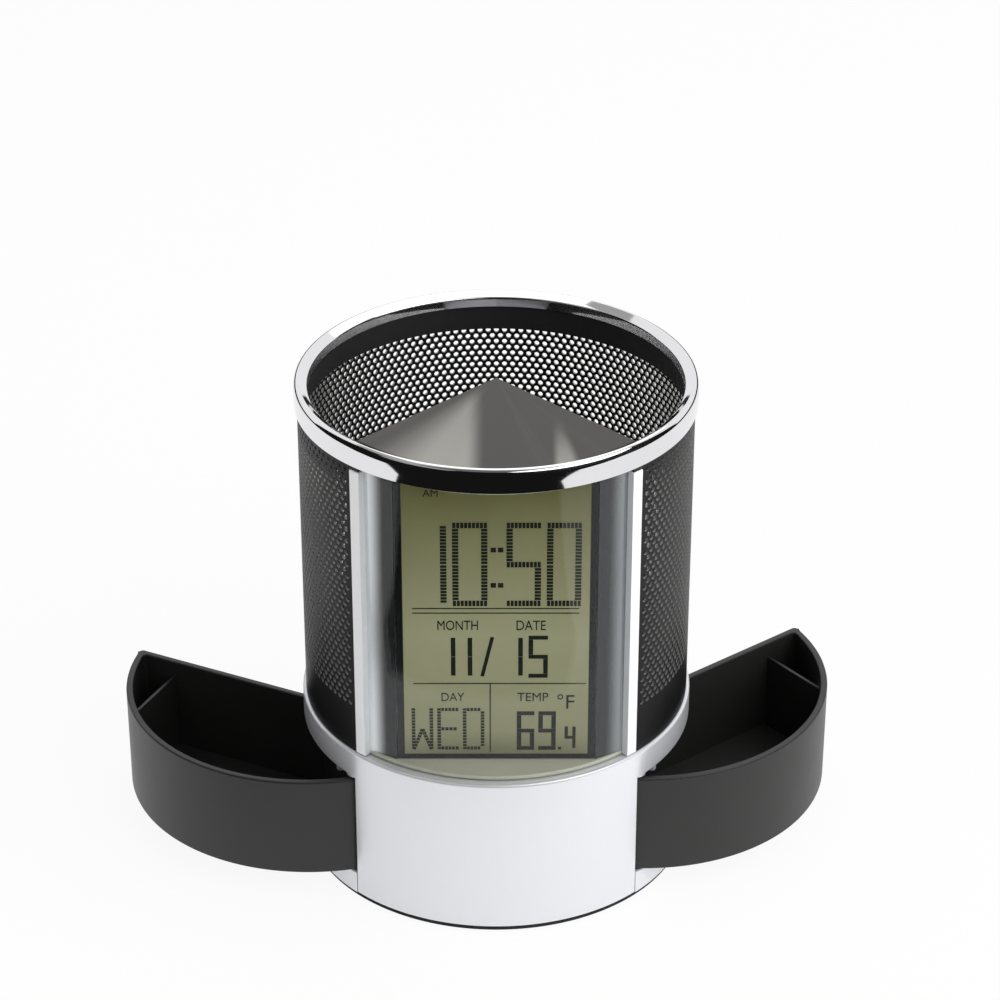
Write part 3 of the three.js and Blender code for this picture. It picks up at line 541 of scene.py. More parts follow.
class Graph:
    """Node tree of one material."""

    def __init__(self, tree: bpy.types.NodeTree) -> None:
        """Clears a node tree to be filled anew."""
        self.tree = tree
        tree.nodes.clear()

    def node(
        self,
        kind: str,
        settings: dict[str, Any] | None = None,
        sockets: dict[Any, Any] | None = None,
        output: Any = 0,
    ) -> Signal:
        """Adds a node.

        Args:
            kind: Type of node, without its prefix.
            settings: Properties set first; "stops" are a ramp's positions and colours.
            sockets: Values or signals by socket name or number.
            output: Name or number of the output wanted.

        Returns:
            That output.
        """
        made = self.tree.nodes.new("ShaderNode" + kind)
        for name, value in (settings or {}).items():
            if name == "stops":
                self._stops(made.color_ramp, value)
            else:
                setattr(made, name, value)
        for key, value in (sockets or {}).items():
            self.feed(made.inputs[key], value)
        return Signal(self, made.outputs[output]) if len(made.outputs) else Signal(self, made.inputs[0])

    @staticmethod
    def _stops(ramp: bpy.types.ColorRamp, stops: list[tuple[float, Colour]]) -> None:
        """Gives a ramp its stops.

        Args:
            ramp: The ramp.
            stops: Position and colour of each stop.
        """
        while len(ramp.elements) < len(stops):
            ramp.elements.new(0.5)
        for element, (position, colour) in zip(ramp.elements, stops):
            element.position = position
            element.color = colour

    def feed(self, socket: bpy.types.NodeSocket, value: Any) -> None:
        """Links a signal to a socket, or sets the socket's own value.

        Args:
            socket: Input to be fed.
            value: Signal, number or colour.
        """
        if isinstance(value, Signal):
            self.tree.links.new(value.socket, socket)
        else:
            socket.default_value = value

    def place(self, stretch: Place = (1.0, 1.0, 1.0)) -> Signal:
        """Place on the object in millimetres.

        Args:
            stretch: Factor on each axis.

        Returns:
            The place as a vector.
        """
        spot = self.node("TexCoord", output="Object")
        scale = tuple(s / MM for s in stretch)
        return self.node("VectorMath", {"operation": "MULTIPLY"}, {0: spot, 1: scale})

    def axes(self) -> tuple[Signal, Signal, Signal]:
        """Place on the object in millimetres as three numbers."""
        first = self.node("SeparateXYZ", None, {0: self.place()})
        return first, first.sibling(1), first.sibling(2)

    def noise(
        self,
        per_mm: float,
        detail: float = 3.0,
        rough: float = 0.5,
        stretch: Place = (1.0, 1.0, 1.0),
    ) -> Signal:
        """Even noise from 0 to 1.

        Args:
            per_mm: Patches in a millimetre.
            detail: Finer layers.
            rough: Strength of the finer layers.
            stretch: Factor on each axis.

        Returns:
            The noise.
        """
        sockets = {"Vector": self.place(stretch), "Scale": per_mm, "Detail": detail, "Roughness": rough}
        return self.node("TexNoise", None, sockets)

    def mix(self, factor: Any, first: Any, second: Any) -> Signal:
        """Colour between two others."""
        return self.node("Mix", {"data_type": "RGBA"}, {0: factor, 6: first, 7: second}, 2)

    def ramp(self, factor: Signal, stops: list[tuple[float, Colour]]) -> Signal:
        """Colour looked up in a ramp."""
        return self.node("ValToRGB", {"stops": stops}, {0: factor})

    def bump(self, height: Signal, depth: float, strength: float = 1.0, normal: Any = None) -> Signal:
        """Normal of a surface with a relief.

        Args:
            height: Relief from 0 to 1.
            depth: Its depth in millimetres.
            strength: How much of it shows.
            normal: Normal that it is laid on.

        Returns:
            The new normal.
        """
        sockets = {"Strength": strength, "Distance": depth * MM, "Height": height}
        if normal is not None:
            sockets["Normal"] = normal
        return self.node("Bump", None, sockets)

    def turned_off(self) -> Signal:
        """How far a face looks away from the axis of the cup.

        Returns:
            0 where it looks straight out or in, 1 where it looks along a side.
        """
        spot, facing = self.node("TexCoord", output="Object"), self.node("TexCoord", output="Normal")
        level = self.node("VectorMath", {"operation": "MULTIPLY"}, {0: spot, 1: (1.0, 1.0, 0.0)})
        out = self.node("VectorMath", {"operation": "NORMALIZE"}, {0: level})
        along = self.node("VectorMath", {"operation": "DOT_PRODUCT"}, {0: out, 1: facing}, "Value")
        return 1.0 - abs(along)

    def seen(self) -> Signal:
        """1 for rays that show a background, 0 for rays that light."""
        path = self.node("LightPath", output="Is Camera Ray")
        return path.most(path.sibling("Is Glossy Ray")).most(path.sibling("Is Transmission Ray"))

    def surface(self, sockets: dict[str, Any]) -> Signal:
        """Principled shader with these sockets."""
        return self.node("BsdfPrincipled", None, sockets)

    def end(self, shader: Signal, kind: str = "OutputMaterial") -> None:
        """Sends a shader to the output."""
        self.node(kind, None, {"Surface": shader})


@dataclass(frozen=True)
class Finish:
    """What a piece is finished in."""

    name: str

    def material(self) -> bpy.types.Material:
        """Makes the material, or finds it where it is made already.

        Returns:
            Material of this finish.
        """
        found = bpy.data.materials.get(self.name)
        if found:
            return found
        made = bpy.data.materials.new(self.name)
        made.use_nodes = True
        graph = Graph(made.node_tree)
        graph.end(self.shader(graph))
        return made

    def shader(self, graph: Graph) -> Signal:
        """Shader of this finish; each kind of finish gives its own."""
        raise NotImplementedError(self.name)


@dataclass(frozen=True)
class Plastic(Finish):
    """Moulded plastic with a fine spark-eroded texture and a little handling."""

    colour: int
    roughness: float = 0.45
    grain: float = 0.012
    grain_per_mm: float = 3.0
    cloud: float = 0.1
    gloss: float = 0.5

    def shader(self, graph: Graph) -> Signal:
        """Base colour clouded a little, roughness that wanders, and a fine grain.

        Args:
            graph: Node tree that it is made in.

        Returns:
            The shader.
        """
        cloud = graph.noise(per_mm=0.06, detail=3.0, rough=0.6)
        grain = graph.noise(per_mm=self.grain_per_mm, detail=2.0, rough=0.6)
        base = tone(self.colour)
        darker = shaded(base, 1 - self.cloud)
        lighter = shaded(base, 1 + self.cloud)
        return graph.surface(
            {
                "Base Color": graph.mix(cloud.ease(0.3, 0.7), darker, lighter),
                "Roughness": self.roughness - 0.05 + 0.1 * cloud + 0.06 * grain,
                "Specular IOR Level": self.gloss,
                "Normal": graph.bump(grain, self.grain),
            }
        )


@dataclass(frozen=True)
class Lacquer(Finish):
    """Silver lacquer over moulded plastic: fine flake under a soft gloss."""

    colour: int = 0xEAEBEF
    roughness: float = 0.3
    metallic: float = 0.5
    flake: float = 0.03
    orange_peel: float = 0.0015

    def shader(self, graph: Graph) -> Signal:
        """Flake varies the colour, and the lacquer lies in very slight waves.

        Args:
            graph: Node tree that it is made in.

        Returns:
            The shader.
        """
        flake = graph.noise(per_mm=9.0, detail=1.0, rough=0.5)
        cloud = graph.noise(per_mm=0.05, detail=3.0, rough=0.55)
        peel = graph.noise(per_mm=0.7, detail=2.0, rough=0.5)
        base = tone(self.colour)
        darker = shaded(base, 1 - self.flake)
        return graph.surface(
            {
                "Base Color": graph.mix(flake.ease(0.35, 0.65), darker, base),
                "Metallic": self.metallic,
                "Roughness": self.roughness - 0.02 + 0.04 * cloud + 0.01 * flake,
                "Coat Weight": 0.15,
                "Coat Roughness": 0.08,
                "Normal": graph.bump(peel, self.orange_peel),
            }
        )


@dataclass(frozen=True)
class Plating(Finish):
    """Bright metal plating with the faintest polishing marks."""

    colour: int = 0xE6E6E8
    roughness: float = 0.05

    def shader(self, graph: Graph) -> Signal:
        """Polishing marks run round the ring.

        Args:
            graph: Node tree that it is made in.

        Returns:
            The shader.
        """
        haze = graph.noise(per_mm=0.08, detail=3.0, rough=0.6)
        marks = graph.noise(per_mm=1.6, detail=2.0, rough=0.6, stretch=(0.15, 0.15, 1.0))
        base = tone(self.colour)
        darker = shaded(base, 0.94)
        return graph.surface(
            {
                "Base Color": graph.mix(haze, darker, base),
                "Metallic": 1.0,
                "Roughness": self.roughness + 0.03 * haze,
                "Normal": graph.bump(marks, depth=0.0015),
            }
        )


@dataclass(frozen=True)
class SatinCap(Finish):
    """Satin-lacquered metal with fine rings in its relief; the bright sectors that fan out from the apex of
    the wedge are a painted reflection in its base colour.
    """

    apex: float
    # Base colour, and the lighter colour of the painted reflection streaks
    dark: int = 0x464441
    light: int = 0xB0AFA9
    broad_side: Point = (-2.6, -7.4)
    broad_fan: Point = (-41.0, -19.0)
    broad_ahead: Point = (10.0, 44.0)
    slim_left: Point = (13.0, 15.2)
    slim_right: Point = (12.8, 10.2)
    slim_lean: float = 0.17
    slim_ahead: Point = (20.0, 46.0)
    broad_painted_reflection: float = 0.68
    slim_painted_reflection: float = 0.6
    mottle: float = 0.14
    sectors_per_degree: float = 0.11
    rings_per_mm: float = 3.2

    def shader(self, graph: Graph) -> Signal:
        """A broad painted reflection sector on one side and a slim one on the other, with fine rings across
        them.

        Args:
            graph: Node tree that it is made in.

        Returns:
            The shader.
        """
        x, y, _ = graph.axes()
        ahead = self.apex - y
        angle = x.math("ARCTAN2", x, ahead) * (180 / math.pi)
        across = graph.node("CombineXYZ", None, {0: angle})
        sockets = {"Vector": across, "Scale": self.sectors_per_degree, "Detail": 3.0}
        sector = graph.node("TexNoise", None, sockets)
        square = x * x + y * y
        ring = graph.node("CombineXYZ", None, {0: square.math("SQRT", square)})
        sockets = {"Vector": ring, "Scale": self.rings_per_mm, "Detail": 2.0}
        rings = graph.node("TexNoise", None, sockets)
        fade = 0.8 + 0.2 * ahead.ease(*self.broad_ahead)
        broad = x.ease(*self.broad_side) * angle.ease(*self.broad_fan) * fade
        leaning = (x - self.slim_lean * ahead).ease(*self.slim_right)
        slim = x.ease(*self.slim_left) * leaning * ahead.ease(*self.slim_ahead)
        # Painted reflection streaks, mixed into the base colour
        light = self.broad_painted_reflection * broad + self.slim_painted_reflection * slim + self.mottle * (sector - 0.5)
        light = light.least(1.0).most(0.0)
        return graph.surface(
            {
                "Base Color": graph.mix(light, tone(self.dark), tone(self.light)),
                "Metallic": 0.75,
                "Roughness": 0.34 + 0.08 * rings,
                "Normal": graph.bump(rings, depth=0.004),
            }
        )


@dataclass(frozen=True)
class PowderCoat(Finish):
    """Black powder coat on a punched tube, thin and shiny on the edges of its holes."""

    colour: int = 0x0E0E10
    edge: int = 0x9A9A98

    def shader(self, graph: Graph) -> Signal:
        """Pebbles in the skin, a slightly greyer bloom, and worn edges where a face turns off the tube.

        Args:
            graph: Node tree that it is made in.

        Returns:
            The shader.
        """
        pebble = graph.node("TexVoronoi", None, {"Vector": graph.place(), "Scale": 4.0})
        bloom = graph.noise(per_mm=0.05, detail=3.0, rough=0.6)
        base = tone(self.colour)
        lighter = shaded(base, 1.5)
        skin = graph.mix(bloom.ease(0.35, 0.75), base, lighter)
        worn = graph.turned_off().ease(0.5, 0.8)
        return graph.surface(
            {
                "Base Color": graph.mix(worn, skin, tone(self.edge)),
                "Metallic": 0.6 * worn,
                "Roughness": 0.38 + 0.12 * bloom,
                "Specular IOR Level": 0.2,
                "Normal": graph.bump(pebble, depth=0.01),
            }
        )


@dataclass(frozen=True)
class Foam(Finish):
    """Closed-cell foam, dull and pitted."""

    colour: int = 0x1B1B1C

    def shader(self, graph: Graph) -> Signal:
        """Cells of two sizes pit the skin.

        Args:
            graph: Node tree that it is made in.

        Returns:
            The shader.
        """
        cells = graph.node("TexVoronoi", None, {"Vector": graph.place(), "Scale": 2.4})
        fine = graph.noise(per_mm=5.0, detail=2.0, rough=0.6)
        base = tone(self.colour)
        lighter = shaded(base, 1.7)
        return graph.surface(
            {
                "Base Color": graph.mix(cells, base, lighter),
                "Roughness": 0.9 + 0.08 * fine,
                "Normal": graph.bump(cells + 0.3 * fine, depth=0.05),
            }
        )


@dataclass(frozen=True)
class LiquidCrystal(Finish):
    """Reflective liquid crystal cell: olive at the top, paler below with a painted shadow at its foot, grey
    round the view.
    """

    view_half: float
    bottom: float
    top: float
    upper: int = 0x646239
    lower: int = 0x979776
    border: int = 0x08090A
    middle: int = 0x888867
    # Tint at the very foot of the cell, a painted shadow
    foot: int = 0x6E6E54
    blur: float = 0.12
    foot_edge: Point = (1.5, 1.2)

    def shader(self, graph: Graph) -> Signal:
        """A slow change of tint with height, darkened at the foot by painted shadow, inside a plain edge.

        Args:
            graph: Node tree that it is made in.

        Returns:
            The shader.
        """
        x, _, z = graph.axes()
        height = (z - self.bottom) / (self.top - self.bottom)
        cloud = graph.noise(per_mm=0.05, detail=2.0, rough=0.5)
        # The lowest stop is the painted shadow at the foot
        tints = ((0.0, self.foot), (0.1, self.middle), (0.45, self.lower), (1.0, self.upper))
        stops = [(share, tone(colour)) for share, colour in tints]
        tint = graph.ramp(height + 0.08 * (cloud - 0.5), stops)
        side = abs(x).ease(self.view_half - self.blur, self.view_half + self.blur)
        edge = side.most(z.ease(*(self.bottom + rise for rise in self.foot_edge)))
        weave = graph.noise(per_mm=7.0, detail=1.0, rough=0.5)
        return graph.surface(
            {
                "Base Color": graph.mix(edge, tint, tone(self.border)),
                "Roughness": 0.36 + 0.06 * weave,
                "Specular IOR Level": 0.25,
                "Coat Weight": 0.15,
                "Coat Roughness": 0.03,
                "Normal": graph.bump(weave, depth=0.001),
            }
        )


@dataclass(frozen=True)
class Ink(Finish):
    """Dark liquid crystal segments."""

    colour: int = 0x141A10

    def shader(self, graph: Graph) -> Signal:
        """Nearly even, a little thinner in places.

        Args:
            graph: Node tree that it is made in.

        Returns:
            The shader.
        """
        thin = graph.noise(per_mm=1.2, detail=2.0, rough=0.5)
        base = tone(self.colour)
        lighter = shaded(base, 1.8)
        return graph.surface(
            {
                "Base Color": graph.mix(thin.ease(0.4, 0.9), base, lighter),
                "Roughness": 0.4 + 0.1 * thin,
                "Specular IOR Level": 0.2,
            }
        )


@dataclass(frozen=True)
class ClearAcrylic(Finish):
    """Clear moulded acrylic that lets lamps through and keeps its gloss."""

    head_on: float = 0.016
    at_a_slant: float = 0.85
    steepness: float = 5.0
    round_faces: Point = (0.3, 0.1)
    tint: Colour = (0.98, 0.985, 0.985, 1.0)

    def shader(self, graph: Graph) -> Signal:
        """Transparent behind a gloss that grows at a slant; its polished ends stay clear.

        Args:
            graph: Node tree that it is made in.

        Returns:
            The shader.
        """
        smear = graph.noise(per_mm=0.12, detail=3.0, rough=0.6)
        normal = graph.bump(graph.noise(per_mm=0.05, detail=1.0, rough=0.5), depth=0.01)
        gloss = graph.surface(
            {
                "Base Color": PURE_WHITE,
                "Metallic": 1.0,
                "Roughness": 0.02 + 0.03 * smear,
                "Normal": normal,
            }
        )
        clear = graph.node("BsdfTransparent", None, {"Color": self.tint})
        slant = graph.node("LayerWeight", None, {"Blend": 0.5}, "Facing")
        shine = graph.turned_off().ease(*self.round_faces)
        share = (self.head_on + self.at_a_slant * slant.math("POWER", slant, self.steepness)) * shine
        return graph.node("MixShader", None, {0: share, 1: clear, 2: gloss})


@dataclass(frozen=True)
class Steel(Finish):
    """Nickel-plated steel."""

    colour: int = 0xC2C2C6
    roughness: float = 0.28

    def shader(self, graph: Graph) -> Signal:
        """Fine drawn marks and a slight haze.

        Args:
            graph: Node tree that it is made in.

        Returns:
            The shader.
        """
        haze = graph.noise(per_mm=0.5, detail=3.0, rough=0.6)
        marks = graph.noise(per_mm=4.0, detail=2.0, rough=0.6, stretch=(1.0, 0.3, 1.0))
        base = tone(self.colour)
        darker = shaded(base, 0.8)
        return graph.surface(
            {
                "Base Color": graph.mix(haze, darker, base),
                "Metallic": 1.0,
                "Roughness": self.roughness + 0.1 * haze,
                "Normal": graph.bump(marks, depth=0.004),
            }
        )


@dataclass(frozen=True)
class CircuitBoard(Finish):
    """Green solder mask over copper tracks."""

    mask: int = 0x1C5231
    track: int = 0x2E7A45

    def shader(self, graph: Graph) -> Signal:
        """Tracks show as lighter lines under the mask.

        Args:
            graph: Node tree that it is made in.

        Returns:
            The shader.
        """
        lines = graph.node(
            "TexBrick",
            None,
            {
                "Vector": graph.place(),
                "Color1": PURE_BLACK,
                "Color2": PURE_BLACK,
                "Mortar": PURE_WHITE,
                "Scale": 0.5,
                "Mortar Size": 0.03,
            },
            "Fac",
        )
        fine = graph.noise(per_mm=2.0, detail=2.0, rough=0.5)
        return graph.surface(
            {
                "Base Color": graph.mix(lines, tone(self.mask), tone(self.track)),
                "Roughness": 0.3 + 0.1 * fine,
                "Normal": graph.bump(lines, depth=0.03),
            }
        )


@dataclass(frozen=True)
class CellWrap(Finish):
    """Printed film round the battery, bare metal at its ends."""

    half: float
    wrap: int = 0x2C5F78
    band: int = 0xC9A227
    metal: int = 0xC4C4C8
    band_shares: Point = (0.45, 0.46)
    bare_ends: Point = (0.9, 0.7)
    film_shift: float = 0.4

    def shader(self, graph: Graph) -> Signal:
        """A film with one plain band, and metal ends.

        Args:
            graph: Node tree that it is made in.

        Returns:
            The shader.
        """
        x, _, _ = graph.axes()
        wear = graph.noise(per_mm=0.6, detail=3.0, rough=0.5)
        band = x.ease(*(self.half * share for share in self.band_shares))
        end = abs(x + self.film_shift).ease(*(self.half - bare for bare in self.bare_ends))
        film = graph.mix(band, tone(self.wrap), tone(self.band))
        return graph.surface(
            {
                "Base Color": graph.mix(end, film, tone(self.metal)),
                "Metallic": 0.3 + 0.7 * end,
                "Roughness": 0.3 + 0.12 * wear,
                "Normal": graph.bump(wear, depth=0.01),
            }
        )


@dataclass(frozen=True)
class Rubber(Finish):
    """Soft rubber or wire insulation, faintly powdery."""

    colour: int
    roughness: float = 0.7

    def shader(self, graph: Graph) -> Signal:
        """A powdery bloom over an even colour.

        Args:
            graph: Node tree that it is made in.

        Returns:
            The shader.
        """
        bloom = graph.noise(per_mm=0.9, detail=3.0, rough=0.6)
        base = tone(self.colour)
        lighter = shaded(base, 1.25, 0.01)
        return graph.surface(
            {
                "Base Color": graph.mix(bloom.ease(0.4, 0.8), base, lighter),
                "Roughness": self.roughness - 0.06 + 0.12 * bloom,
                "Normal": graph.bump(bloom, depth=0.01),
            }
        )


@dataclass(frozen=True)
class GradedBezel(Finish):
    """Bright bezel lacquer with painted shade: a painted dark reflection beside the display, and a different
    painted tone on each side.
    """

    near: float
    far: float
    # Painted shade beside the display and lit tone, on the left and on the right side; the sides differ only
    # by painted light
    left: tuple[int, int] = (0x1C1E1F, 0xF2F5F8)
    right: tuple[int, int] = (0x303234, 0x95989B)
    middle: Point = (-5.0, 5.0)

    def shader(self, graph: Graph) -> Signal:
        """Painted shade fades with the distance from the display's edge; each side has its own pair of
        painted tones.

        Args:
            graph: Node tree that it is made in.

        Returns:
            The shader.
        """
        x, _, _ = graph.axes()
        haze = graph.noise(per_mm=0.06, detail=2.0, rough=0.5)
        fine = graph.noise(per_mm=6.0, detail=1.0, rough=0.5)
        clear = (abs(x) + 0.3 * (haze - 0.5)).ease(self.near, self.far)
        sides = [graph.mix(clear, tone(painted_shade), tone(bright)) for painted_shade, bright in (self.left, self.right)]
        return graph.surface(
            {
                "Base Color": graph.mix(x.ease(*self.middle), *sides),
                "Metallic": 0.55,
                "Roughness": 0.17 + 0.03 * haze + 0.02 * fine,
                "Normal": graph.bump(fine, depth=0.0002),
            }
        )


@dataclass(frozen=True)
class Card(Finish):
    """Even glow of a studio card."""

    glow: float

    def shader(self, graph: Graph) -> Signal:
        """Light of one strength."""
        return graph.node("Emission", None, {"Color": PURE_WHITE, "Strength": self.glow})


@dataclass(frozen=True)
class StudioFloor(Finish):
    """Pale floor that looks white and still takes a shadow."""

    grey: float = 0.9
    glow_share: float = 0.92

    def shader(self, graph: Graph) -> Signal:
        """Matt for rays that light, and mostly glowing for rays that show it.

        Args:
            graph: Node tree that it is made in.

        Returns:
            The shader.
        """
        matt = graph.node("BsdfDiffuse", None, {"Color": (self.grey, self.grey, self.grey, 1.0)})
        glow = graph.node("Emission", None, {"Color": PURE_WHITE, "Strength": 1.0})
        return graph.node("MixShader", None, {0: self.glow_share * graph.seen(), 1: matt, 2: glow})


CHROME = Plating("chrome_plating")
SILVER = Lacquer("silver_lacquer")
BEZEL = Lacquer("bezel_lacquer", 0xEFF0F2, 0.24, 0.12, 0.02, 0.0008)
LEDGE = Lacquer("ledge_lacquer", 0xC2C2B0, 0.4, 0.2, 0.02, 0.001)
CHARCOAL = Plastic("charcoal_moulding", 0x212120, 0.4, 0.006, 3.0, 0.06, 0.5)
BLACK = Plastic("black_moulding", 0x161618, 0.5, 0.012, 3.0, 0.1)
MESH = PowderCoat("black_powder_coat")
FOAM = Foam("foam_pad")
SATIN = SatinCap("satin_cap", 1.1)
CLEAR = ClearAcrylic("clear_acrylic")
WHITE = Plastic("white_moulding", 0xE4E3DC, 0.5, 0.01, 3.0, 0.04)
STEEL = Steel("plated_steel")
BOARD = CircuitBoard("circuit_board")
INK = Ink("crystal_segments")


# The object


@dataclass
class TopRing:
    """Chrome ring round the mouth of the cup."""

    span: Span = span_of("top_ring")
    width: float = 3.6
    skirt: float = 2.2
    lip: float = 0.5
    foot_rise: float = 0.1
    foot: tuple[Point, ...] = ((0.4, 0.0), (0.22, 0.02))
    swell_rise: float = 0.15
    bulge: float = 0.07
    shoulder: float = 1.7
    shoulder_from: float = 9.0
    lean: float = 75.0
    crest: float = 0.4
    crest_turn: Point = (83.0, 114.0)
    fall: float = 1.3
    slope: tuple[Point, ...] = ((0.9, 0.32), (0.35, 0.1), (0.12, -0.05), (0.0, -0.3))
    rolled: float = 0.2
    segments: int = 480

    def build(self) -> None:
        """Turns the ring's section: a skirt outside the sleeve, a round shoulder and a slope inwards."""
        outer, top, bottom = self.span.high.x, self.span.high.z, self.span.low.z
        inner, ledge, low = outer - self.width, bottom + self.skirt, top - self.fall
        profile = [(outer - self.lip, ledge), (outer - self.lip, bottom + self.foot_rise)]
        profile += [(outer - back, bottom + up) for back, up in self.foot]
        profile += self._flank(outer, top, bottom)
        profile += [(inner + out, low + up) for out, up in self.slope]
        profile += [(inner, ledge + self.rolled), (inner + self.rolled, ledge)]
        shell = Shell()
        shell.lathe(profile, self.segments)
        shell.build("top_ring_plated", CHROME, slot="chrome_ring", replaces=["top_ring"])

    def _flank(self, outer: float, top: float, bottom: float) -> list[Point]:
        """Slightly swollen flank, then the shoulder and the crest as two arcs.

        Args:
            outer: Largest radius.
            top: Level of the crest.
            bottom: Level of the foot.

        Returns:
            Radius and level of each point.
        """
        start, loose, tight = bottom + self.swell_rise, self.shoulder, self.crest
        lean = math.radians(self.lean)
        swell = [k / 6 for k in range(7)]
        points = [
            (outer - self.bulge * (2 * t - 1) ** 2, start + (top - loose - start) * t) for t in swell
        ]
        centre = (outer - self.bulge - loose, top - tight - (loose - tight) * math.sin(lean))
        points += bend(centre, loose, self.shoulder_from, self.lean, 7)
        centre = (centre[0] + (loose - tight) * math.cos(lean), top - tight)
        return points + bend(centre, tight, *self.crest_turn, 4)


@dataclass
class MeshSleeve:
    """Perforated sheet round the back three quarters of the cup."""

    span: Span = span_of("mesh_sleeve")
    thickness: float = 0.6
    opening: float = WINDOW
    side_margin: float = 0.9
    plain_bottom: float = 13.0
    plain_top: float = 3.2
    pitch: float = 2.15
    row_rise: float = 1.66
    hole: float = 1.4

    def build(self) -> None:
        """Lays brick-bonded cells with round holes between plain bands."""
        outer = self.span.high.x
        bottom, top = self.span.low.z, self.span.high.z
        margin = math.degrees(self.side_margin / outer)
        first, last = self.opening + margin, 360 - self.opening - margin
        columns = round(math.radians(last - first) * outer / self.pitch)
        half = (last - first) / (2 * columns)
        low, high = bottom + self.plain_bottom, top - self.plain_top
        rows = round((high - low) / self.row_rise)
        rise = (high - low) / rows
        radii = (outer, outer - self.thickness)
        edges = (self.opening, 360 - self.opening)

        shell = Shell()
        known: dict[tuple[int, int, int], int] = {}

        def lattice(layer: int, across: int, up: int) -> int:
            """Finds or adds a point of the lattice; the margins lie one step outside.

            Args:
                layer: 0 outside and 1 inside.
                across: Half cells from the first edge.
                up: Half rows from the lowest row.

            Returns:
                Its index.
            """
            key = (layer, across, up)
            if key not in known:
                angle = first + across * half
                if across < 0:
                    angle = edges[0]
                if across > 2 * columns:
                    angle = edges[1]
                level = low + up * rise / 2
                if up < 0:
                    level = bottom
                if up > 2 * rows:
                    level = top
                known[key] = shell.row([(*polar(radii[layer], angle), level)])[0]
            return known[key]

        def plain(across: int, up: int, wide: int = 1, tall: int = 1) -> None:
            """Adds a plain quad to both layers.

            Args:
                across: Half cells from the first edge.
                up: Half rows from the lowest row.
                wide: Half cells that it spans.
                tall: Half rows that it spans.
            """
            for layer in (0, 1):
                quad = [
                    lattice(layer, across, up),
                    lattice(layer, across + wide, up),
                    lattice(layer, across + wide, up + tall),
                    lattice(layer, across, up + tall),
                ]
                shell.faces.append(tuple(quad if layer == 0 else reversed(quad)))

        def edging(across: int, up: int, wide: int, tall: int, flip: bool) -> None:
            """Adds a quad between the layers along an outside edge.

            Args:
                across: Half cells from the first edge.
                up: Half rows from the lowest row.
                wide: Half cells that it spans.
                tall: Half rows that it spans.
                flip: Whether it runs the other way round.
            """
            quad = [lattice(0, across, up), lattice(1, across, up)]
            quad += [lattice(1, across + wide, up + tall), lattice(0, across + wide, up + tall)]
            shell.faces.append(tuple(reversed(quad)) if flip else tuple(quad))

        # Six points round a cell, its hole's eight corners, and the rim and hole points of each quad
        rim_spots = [(2, 2), (1, 2), (0, 2), (0, 0), (1, 0), (2, 0)]
        turns = [math.radians(22.5 + 45 * k) for k in range(8)]
        corners = [(self.hole / 2 * math.cos(t), self.hole / 2 * math.sin(t)) for t in turns]
        fans = [(0, 0, 1), (1, 1, 2), (2, 2, 3), (3, 4, 5), (4, 5, 6), (5, 6, 7)]
        for row in range(rows):
            shift = row % 2
            up = 2 * row
            plain(-1, up, tall=2)
            plain(2 * columns, up, tall=2)
            if shift:
                plain(0, up, tall=2)
                plain(2 * columns - 1, up, tall=2)
            for column in range(columns - shift):
                across = 2 * column + shift
                centre = first + (across + 1) * half
                level = low + (row + 0.5) * rise
                holes = []
                for layer in (0, 1):
                    radius = radii[layer]
                    hole = shell.row(
                        (*polar(radius, centre + math.degrees(x / outer)), level + z) for x, z in corners
                    )
                    holes.append(hole)
                    rim = [lattice(layer, across + dx, up + dy) for dx, dy in rim_spots]
                    web = [(rim[k], rim[(k + 1) % 6], hole[b], hole[a]) for k, a, b in fans]
                    web += [(rim[3], hole[4], hole[3]), (rim[0], hole[0], hole[7])]
                    shell.faces.extend(face if layer == 0 else face[::-1] for face in web)
                for k in range(8):
                    n = (k + 1) % 8
                    shell.faces.append((holes[0][k], holes[0][n], holes[1][n], holes[1][k]))
        for across in range(-1, 2 * columns + 1):
            plain(across, -1)
            plain(across, 2 * rows)
        for across in range(-1, 2 * columns + 1):
            edging(across, -1, 1, 0, False)
            edging(across, 2 * rows + 1, 1, 0, True)
        for up in (-1, *range(0, 2 * rows + 1, 2)):
            tall = 1 if up in (-1, 2 * rows) else 2
            edging(-1, up, 0, tall, True)
            edging(2 * columns + 1, up, 0, tall, False)
        shell.build("mesh_sleeve_perforated", MESH, slot="black_mesh", replaces=["mesh_sleeve"], merge=False)


@dataclass
class CupLinings:
    """Mat on the floor of the cup, and the black band inside its mouth."""

    floor: Span = span_of("cup_floor")
    liner: Span = span_of("ring_liner")
    gap: float = 0.3
    band: float = 1.0
    cap_overhang: float = 0.8
    mat_edge: float = 0.25
    band_edge: float = 0.2

    def build(self) -> None:
        """Makes both with fine arcs and eased edges."""
        outer = self.floor.high.x
        edge = WINDOW + math.degrees(math.asin(self.gap / outer))
        outline = [*arc(outer, edge, 360 - edge), (0.0, self.gap * math.sqrt(2))]
        mat = Shell()
        mat.slab(outline, self.floor.low.z, self.floor.high.z, self.mat_edge)
        mat.build("cup_floor_mat", BLACK, slot="black_plastic", replaces=["cup_floor"])
        outer = self.liner.high.x
        inner = outer - self.band
        edge = WINDOW + math.degrees(math.asin((self.gap + self.cap_overhang) / inner))
        band = [*arc(outer, edge, 360 - edge), *arc(inner, 360 - edge, edge)]
        ring = Shell()
        ring.slab(band, self.liner.low.z, self.liner.high.z, self.band_edge)
        ring.build("ring_liner_band", BLACK, slot="black_plastic", replaces=["ring_liner"])


